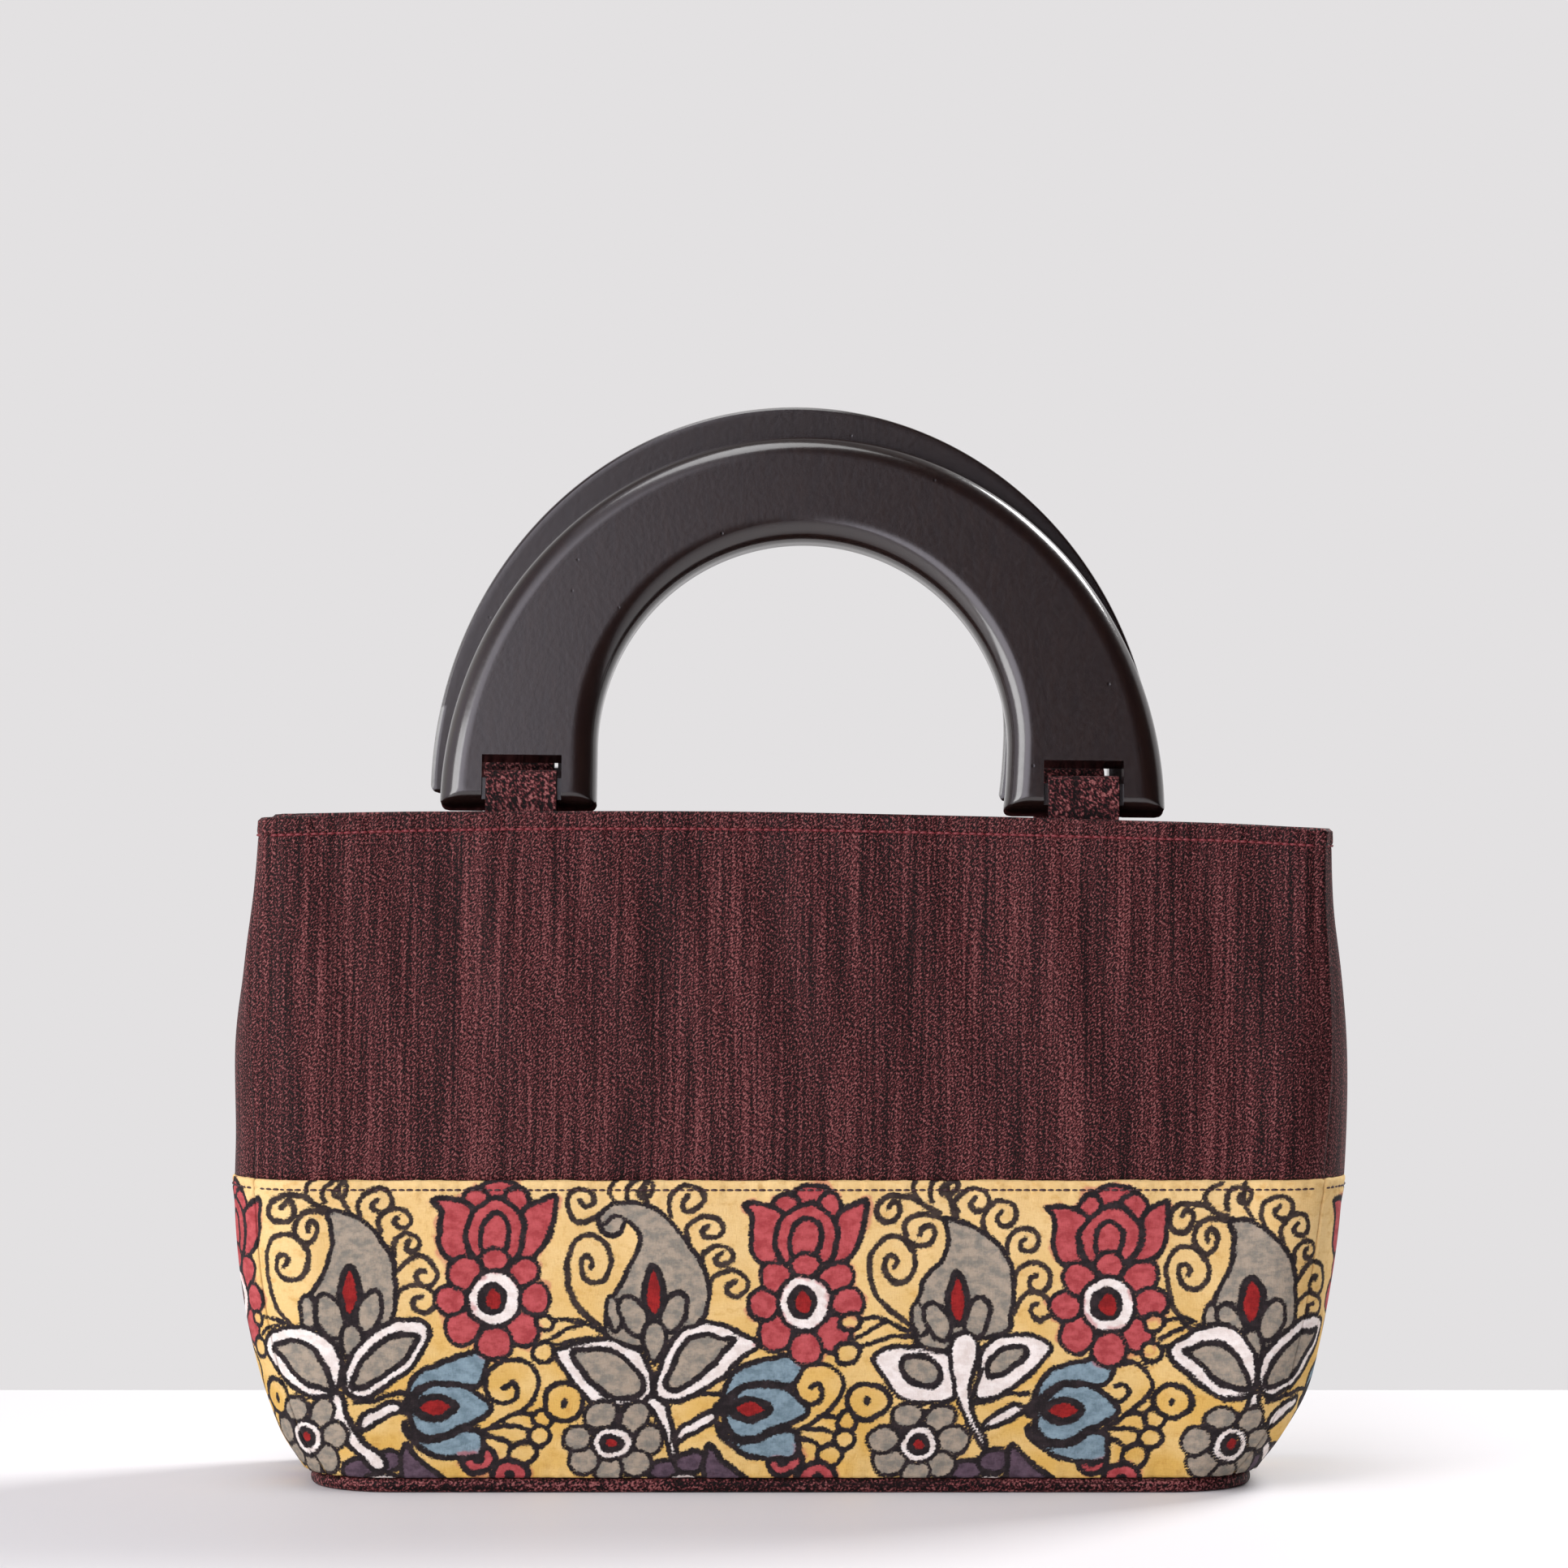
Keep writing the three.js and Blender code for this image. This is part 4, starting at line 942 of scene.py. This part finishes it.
def handle_surface(share, turn, width, height):
    """Handle in its own plane. turn goes round the section: face, outer edge, back, inner edge."""
    # Spread of the section's vertices: the face and back take most, the edges a few rows each.
    spans = np.array([0.0, 0.52, 0.6, 0.9, 1.0])
    on_face = turn < spans[1]
    on_outer = (turn >= spans[1]) & (turn < spans[2])
    on_back = (turn >= spans[2]) & (turn < spans[3])
    local = np.select([on_face, on_outer, on_back], [turn / spans[1],
                                                     (turn - spans[1]) / (spans[2] - spans[1]),
                                                     (turn - spans[2]) / (spans[3] - spans[2])],
                      (turn - spans[3]) / (spans[4] - spans[3]))
    # Rows crowd towards the edges, where the rounding is.
    crowd = 0.5 - 0.5 * np.cos(math.pi * local)
    crowd = 0.62 * crowd + 0.38 * local
    across = np.select([on_face, on_outer, on_back], [crowd, np.ones_like(turn), 1 - crowd], 0.0)
    x, z, wide, held = arch_point(share, across, width, height)
    side_gap = np.minimum(held, 1 - held) * wide
    end_gap = np.minimum(z, 40) * FACE_ROUND / END_ROUND
    soft = 0.7
    gap = np.clip(-soft * np.log(np.exp(-side_gap / soft) + np.exp(-end_gap / soft)), 0, None)
    face_in = np.clip(FACE_ROUND - gap, 0, FACE_ROUND)
    face_drop = FACE_ROUND - np.sqrt(np.clip(FACE_ROUND ** 2 - face_in ** 2, 0, None))
    tight = np.minimum(side_gap, np.minimum(z, 40))
    back_in = np.clip(BACK_ROUND - tight, 0, BACK_ROUND)
    back_drop = BACK_ROUND - np.sqrt(np.clip(BACK_ROUND ** 2 - back_in ** 2, 0, None))
    face_y = -HANDLE_THICKNESS / 2 + face_drop
    back_y = HANDLE_THICKNESS / 2 - back_drop
    y = np.select([on_face, on_outer, on_back], [face_y, face_y + (back_y - face_y) * local, back_y],
                  back_y + (face_y - back_y) * local)
    return x, y, z


handles = []
for name, side, width, height, plane, lean, roll, shift, foot_z in HANDLES:
    long_steps, round_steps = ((420, 96))
    bpy.ops.object.select_all(action="DESELECT")
    bpy.ops.mesh.primitive_grid_add(x_subdivisions=long_steps, y_subdivisions=round_steps, size=1)
    handle = bpy.context.object
    handle.name = f"{name}_arched_handle"
    spots = np.empty(len(handle.data.vertices) * 3)
    handle.data.vertices.foreach_get("co", spots)
    spots = spots.reshape(-1, 3)
    share, turn = spots[:, 0] + 0.5, spots[:, 1] + 0.5
    x, y, z = handle_surface(share, np.clip(turn, 0, 1), width, height)
    handle.data.vertices.foreach_set("co", (np.stack([x, -side * y, z], -1) * MM).ravel())
    handle.data.update()
    bpy.ops.object.mode_set(mode="EDIT")
    bpy.ops.mesh.select_all(action="SELECT")
    bpy.ops.mesh.remove_doubles(threshold=0.02 * MM)
    bpy.ops.mesh.select_all(action="DESELECT")
    bpy.ops.mesh.select_non_manifold()
    bpy.ops.mesh.fill()
    bpy.ops.mesh.select_all(action="SELECT")
    bpy.ops.mesh.normals_make_consistent(inside=False)
    bpy.ops.object.mode_set(mode="OBJECT")
    # One cutter for each foot: a slot right through, with a leg down each face that thins the bar.
    outline = [(-15, -3), (BAR_RECESS - 6, -3), (BAR_RECESS - 6, BAR_HEIGHT), (6 - BAR_RECESS, BAR_HEIGHT),
               (6 - BAR_RECESS, -3), (15, -3), (15, BAR_HEIGHT + SLOT_HEIGHT),
               (-15, BAR_HEIGHT + SLOT_HEIGHT)]
    cutters = []
    for foot in (-1, 1):
        bpy.ops.object.select_all(action="DESELECT")
        bpy.ops.mesh.primitive_circle_add(vertices=len(outline), fill_type="NGON")
        cutter = bpy.context.object
        x_from = foot * SLOT_REACH - SLOT_WIDTH / 2
        for vertex, (y, z) in zip(cutter.data.vertices, outline):
            vertex.co = (x_from * MM, y * MM, z * MM)
        bpy.ops.object.mode_set(mode="EDIT")
        bpy.ops.mesh.select_all(action="SELECT")
        bpy.ops.mesh.extrude_region_move(TRANSFORM_OT_translate={"value": (SLOT_WIDTH * MM, 0, 0)})
        bpy.ops.mesh.select_all(action="SELECT")
        bpy.ops.mesh.normals_make_consistent(inside=False)
        bpy.ops.object.mode_set(mode="OBJECT")
        cutters.append(cutter)
    for cutter in cutters:
        cut = handle.modifiers.new("slot", "BOOLEAN")
        cut.operation = "DIFFERENCE"
        cut.object = cutter
        cut.solver = "EXACT"
        bpy.context.view_layer.objects.active = handle
        bpy.ops.object.modifier_apply(modifier="slot")
        bpy.data.objects.remove(cutter)
    spots = np.empty(len(handle.data.vertices) * 3)
    handle.data.vertices.foreach_get("co", spots)
    spots = spots.reshape(-1, 3) / MM
    # Lean about X, then roll about the handle's own Y, as its feet stand on the rim.
    c, s = math.cos(-roll), math.sin(-roll)
    x, z = spots[:, 0] * c + spots[:, 2] * s, -spots[:, 0] * s + spots[:, 2] * c
    y = spots[:, 1]
    c, s = math.cos(-lean), math.sin(-lean)
    y, z = y * c - z * s, y * s + z * c
    handle.data.vertices.foreach_set("co", (np.stack([x + shift, y + plane, z + foot_z], -1) * MM).ravel())
    handle.data.update()
    bpy.ops.object.select_all(action="DESELECT")
    handle.select_set(True)
    bpy.context.view_layer.objects.active = handle
    bpy.ops.object.shade_smooth_by_angle(angle=math.radians(28))
    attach(handle, "root")
    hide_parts(f"{name}_handle")
    handles.append(handle)

# Dark lacquer on wood: nearly black brown, satin, thick enough to hide the grain but for a faint
# orange peel and a few pits.
lacquered_wood, tree, shader = surface_material("lacquered_dark_wood")
at = node(tree, "ShaderNodeTexCoord").outputs["Object"]
grain_at = node(tree, "ShaderNodeVectorMath", {0: at, 1: (1000 / 2.2, 1000 / 2.2, 1000 / 24)},
                operation="MULTIPLY")
grain = node(tree, "ShaderNodeTexNoise", {"Vector": grain_at.outputs[0], "Scale": 1.0, "Detail": 3.0})
peel = node(tree, "ShaderNodeTexNoise", {"Vector": at, "Scale": 1000 / 1.6, "Detail": 2.0})
pits = node(tree, "ShaderNodeTexVoronoi", {"Vector": at, "Scale": 1000 / 9.0, "Randomness": 1.0})
pit = node(tree, "ShaderNodeMapRange", {"Value": pits.outputs["Distance"], "From Min": 0.02, "From Max": 0.06,
                                        "To Min": 1.0, "To Max": 0.0})
tone = node(tree, "ShaderNodeMix", {"Factor": grain.outputs["Fac"], "A": linear("#150c0d"),
                                    "B": linear("#22140f")}, data_type="RGBA")
pitted = node(tree, "ShaderNodeMix", {"Factor": pit.outputs[0], "A": tone.outputs["Result"],
                                      "B": linear("#0c0808")}, data_type="RGBA")
tree.links.new(pitted.outputs["Result"], shader.inputs["Base Color"])
rough = node(tree, "ShaderNodeMapRange", {"Value": peel.outputs["Fac"], "To Min": 0.2, "To Max": 0.28})
tree.links.new(rough.outputs[0], shader.inputs["Roughness"])
uneven = node(tree, "ShaderNodeMath", {0: grain.outputs["Fac"], 1: 0.35, 2: peel.outputs["Fac"]},
              operation="MULTIPLY_ADD")
hollow = node(tree, "ShaderNodeMath", {0: pit.outputs[0], 1: -2.5, 2: uneven.outputs[0]},
              operation="MULTIPLY_ADD")
bump = node(tree, "ShaderNodeBump", {"Height": hollow.outputs[0], "Strength": 0.35, "Distance": 0.06 * MM})
tree.links.new(bump.outputs["Normal"], shader.inputs["Normal"])
shader.inputs["IOR"].default_value = 1.5
shader.inputs["Specular IOR Level"].default_value = 0.6
shader.inputs["Coat Weight"].default_value = 0.55
shader.inputs["Coat Roughness"].default_value = 0.1
for handle in handles:
    handle.data.materials.append(lacquered_wood)


# Straps: one folded band of the bag's silk for each foot. It goes up out of the hem, over the
# bar under the slot and back down, and both layers are caught inside the hem.
STRAP_TAIL = 13.0
straps = []
for name, side, _, _, plane, lean, roll, shift, foot_z in HANDLES:
    for foot_name, foot in (("left", -1), ("right", 1)):
        hem = inside_hem(side, shift)
        strap_z = foot_z + foot * SLOT_REACH * math.sin(roll)
        middle = STRAP_REACH - STRAP_THICKNESS / 2

        def leaned(y, z):
            return (plane + y * math.cos(lean) + z * math.sin(lean),
                    strap_z + z * math.cos(lean) - y * math.sin(lean))

        outer_y, inner_y = hem - side * 0.52 * STRAP_THICKNESS, hem - side * 1.54 * STRAP_THICKNESS
        tail_z, bend_z = BODY_HEIGHT - STRAP_TAIL, BODY_HEIGHT - 4 * STRAP_THICKNESS
        path = [(outer_y, tail_z), (outer_y, (tail_z + bend_z) / 2), (outer_y, bend_z)]
        path += [leaned(side * middle, z) for z in (0.4, 2.6, 5, 7.2)]
        for step in range(1, 8):
            angle = math.pi * step / 8
            path.append(leaned(side * middle * math.cos(angle),
                               BAR_HEIGHT + (STRAP_THICKNESS / 2 + STRAP_GAP) * math.sin(angle)))
        path += [leaned(-side * middle, z) for z in (7.2, 5, 2.6, 0.4)]
        path += [(inner_y, bend_z), (inner_y, (tail_z + bend_z) / 2), (inner_y, tail_z)]
        route = smooth_route(path, False, 8)
        along = np.concatenate([[0], np.cumsum(np.hypot(*np.diff(route, axis=0).T))])
        long_steps, cross_steps = 130, 26
        bpy.ops.object.select_all(action="DESELECT")
        bpy.ops.mesh.primitive_grid_add(x_subdivisions=cross_steps, y_subdivisions=long_steps, size=1)
        strap = bpy.context.object
        strap.name = f"{name}_{foot_name}_silk_strap"
        spots = np.empty(len(strap.data.vertices) * 3)
        strap.data.vertices.foreach_get("co", spots)
        spots = spots.reshape(-1, 3)
        across, reach = spots[:, 0], (spots[:, 1] + 0.5) * along[-1]
        y, z = np.interp(reach, along, route[:, 0]), np.interp(reach, along, route[:, 1])
        # The folded edges wander a little, so the strap narrows slightly here and there.
        seed = 60 + 4 * foot + side
        edge = 1 - 0.012 * np.abs(ripple(reach, seed, (9, 14)))
        x = shift + foot * SLOT_REACH + across * STRAP_WIDTH * edge
        strap.data.vertices.foreach_set("co", (np.stack([x, y, z], -1) * MM).ravel())
        strap.data.update()
        bpy.context.view_layer.objects.active = strap
        wall = strap.modifiers.new("wall", "SOLIDIFY")
        wall.thickness = (STRAP_THICKNESS - 0.04) * MM
        wall.offset = 0
        bpy.ops.object.modifier_apply(modifier="wall")
        round_off = strap.modifiers.new("fold", "BEVEL")
        round_off.limit_method = "ANGLE"
        round_off.angle_limit = math.radians(60)
        round_off.width = 0.9 * MM
        round_off.segments = 3
        bpy.ops.object.modifier_apply(modifier="fold")
        bpy.ops.object.mode_set(mode="EDIT")
        bpy.ops.mesh.select_all(action="SELECT")
        bpy.ops.mesh.normals_make_consistent(inside=False)
        bpy.ops.object.mode_set(mode="OBJECT")
        strap.data.polygons.foreach_set("use_smooth", np.ones(len(strap.data.polygons), bool))
        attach(strap, "root")
        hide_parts(f"{name}_{foot_name}_strap")
        straps.append(strap)

strap_silk = shot_silk("raw_silk_straps", False, (0, 0.6, 0), (0.62, 0.8, 0.95), (1.5, 30, 60), (0.7, 30, 90),
                       (14, 30, 90))
for strap in straps:
    strap.data.materials.append(strap_silk)


# Stitches: single lines of machine sewing, each stitch a short piece of polyester thread that
# dips into the cloth at both ends. Dark red holds the hem, black holds the band's fold.
def stitch_line(name, thick, points, normals):
    """One stitch between each two points of a line, in mm. normals point out of the cloth."""
    bpy.ops.object.select_all(action="DESELECT")
    bpy.ops.mesh.primitive_cylinder_add(vertices=6, radius=0.5, depth=1, rotation=(0, math.pi / 2, 0))
    pattern = bpy.context.object
    bpy.ops.object.transform_apply(location=False, rotation=True, scale=False)
    bpy.ops.object.mode_set(mode="EDIT")
    bpy.ops.mesh.select_all(action="SELECT")
    bpy.ops.mesh.bisect(plane_co=(0, 0, 0), plane_no=(1, 0, 0))
    bpy.ops.object.mode_set(mode="OBJECT")
    shape = np.empty(len(pattern.data.vertices) * 3)
    pattern.data.vertices.foreach_get("co", shape)
    shape = shape.reshape(-1, 3)
    faces = [tuple(face.vertices) for face in pattern.data.polygons]
    bpy.data.objects.remove(pattern)
    corners, sides = [], []
    for row in range(len(points) - 1):
        a, b = points[row], points[row + 1]
        length = np.linalg.norm(b - a)
        forward = (b - a) / length
        out = normals[row] - forward * (normals[row] @ forward)
        out /= np.linalg.norm(out)
        across = np.cross(out, forward)
        reach = shape[:, 0] * length * 0.92
        lift = 0.3 - 0.5 * (2 * shape[:, 0]) ** 2
        spots = (a + b) / 2 + reach[:, None] * forward + (shape[:, 1] * thick)[:, None] * across \
            + (shape[:, 2] * thick + lift)[:, None] * out
        sides += [tuple(at + len(corners) * len(shape) for at in face) for face in faces]
        corners.append(spots)
    mesh = bpy.data.meshes.new(name)
    mesh.from_pydata((np.concatenate(corners) * MM).tolist(), [], sides)
    mesh.polygons.foreach_set("use_smooth", np.ones(len(mesh.polygons), bool))
    mesh.update()
    thread = bpy.data.objects.new(name, mesh)
    bpy.context.collection.objects.link(thread)
    return thread


def wall_line(kind, side, from_base, margin, pitch, relief):
    """Points and normals along one wall at a height, a stitch apart."""
    form = form_for(kind, side)
    turn = np.linspace(-margin, margin, 2000)
    height = np.full_like(turn, from_base / WALL_HEIGHT)
    points, run = form(turn, height)
    small = 0.001
    normal = np.cross(form(turn + small, height)[0] - form(turn - small, height)[0],
                      form(turn, height + small)[0] - form(turn, height - small)[0])
    normal /= np.linalg.norm(normal, axis=1)[:, None]
    points = points + normal * relief(run, np.full_like(run, from_base), turn)[:, None]
    far = np.concatenate([[0], np.cumsum(np.linalg.norm(np.diff(points, axis=0), axis=1))])
    stops = np.arange(0, far[-1], pitch)
    return [np.stack([np.interp(stops, far, rows[:, axis]) for axis in range(3)], -1)
            for rows in (points, normal)]


hem_thread, tree, shader = surface_material("red_polyester_thread")
shader.inputs["Base Color"].default_value = linear("#6d1f25")
shader.inputs["Roughness"].default_value = 0.5
twist = node(tree, "ShaderNodeTexWave", {"Vector": node(tree, "ShaderNodeTexCoord").outputs["Object"],
                                         "Scale": 1000 / 0.5}, bands_direction="DIAGONAL")
tint = node(tree, "ShaderNodeMix", {"Factor": twist.outputs["Fac"], "A": linear("#5a181d"),
                                    "B": linear("#8a3238")}, data_type="RGBA")
tree.links.new(tint.outputs["Result"], shader.inputs["Base Color"])
band_thread = hem_thread.copy()
band_thread.name = "black_polyester_thread"
for mix in band_thread.node_tree.nodes:
    if mix.bl_idname == "ShaderNodeMix":
        mix.inputs["A"].default_value = linear("#1c1214")
        mix.inputs["B"].default_value = linear("#4a2226")

for order, (name, kind, side) in enumerate(PIECES):
    # Columns: line, height, pitch, thickness, thread, cloth that it dips into, slot.
    lines = (
        ("hem", WALL_HEIGHT - HEM_DEPTH, 2.3, 0.75, hem_thread, silk_relief(11 + 7 * order, 0.0),
         "maroon_silk"),
        ("fold", BAND_HEIGHT - 2.7, 2.2, 0.62, band_thread, band_relief(31 + 5 * order, 0.0),
         "printed_cotton"),
    )
    for label, from_base, pitch, thick, thread_material, relief, slot in lines:
        points, normals = wall_line(kind, side, from_base, 0.985, pitch, relief)
        thread = stitch_line(f"{name}_{label}_stitches", thick, points, normals)
        thread.data.materials.append(thread_material)
        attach(thread, "root")


low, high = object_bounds()
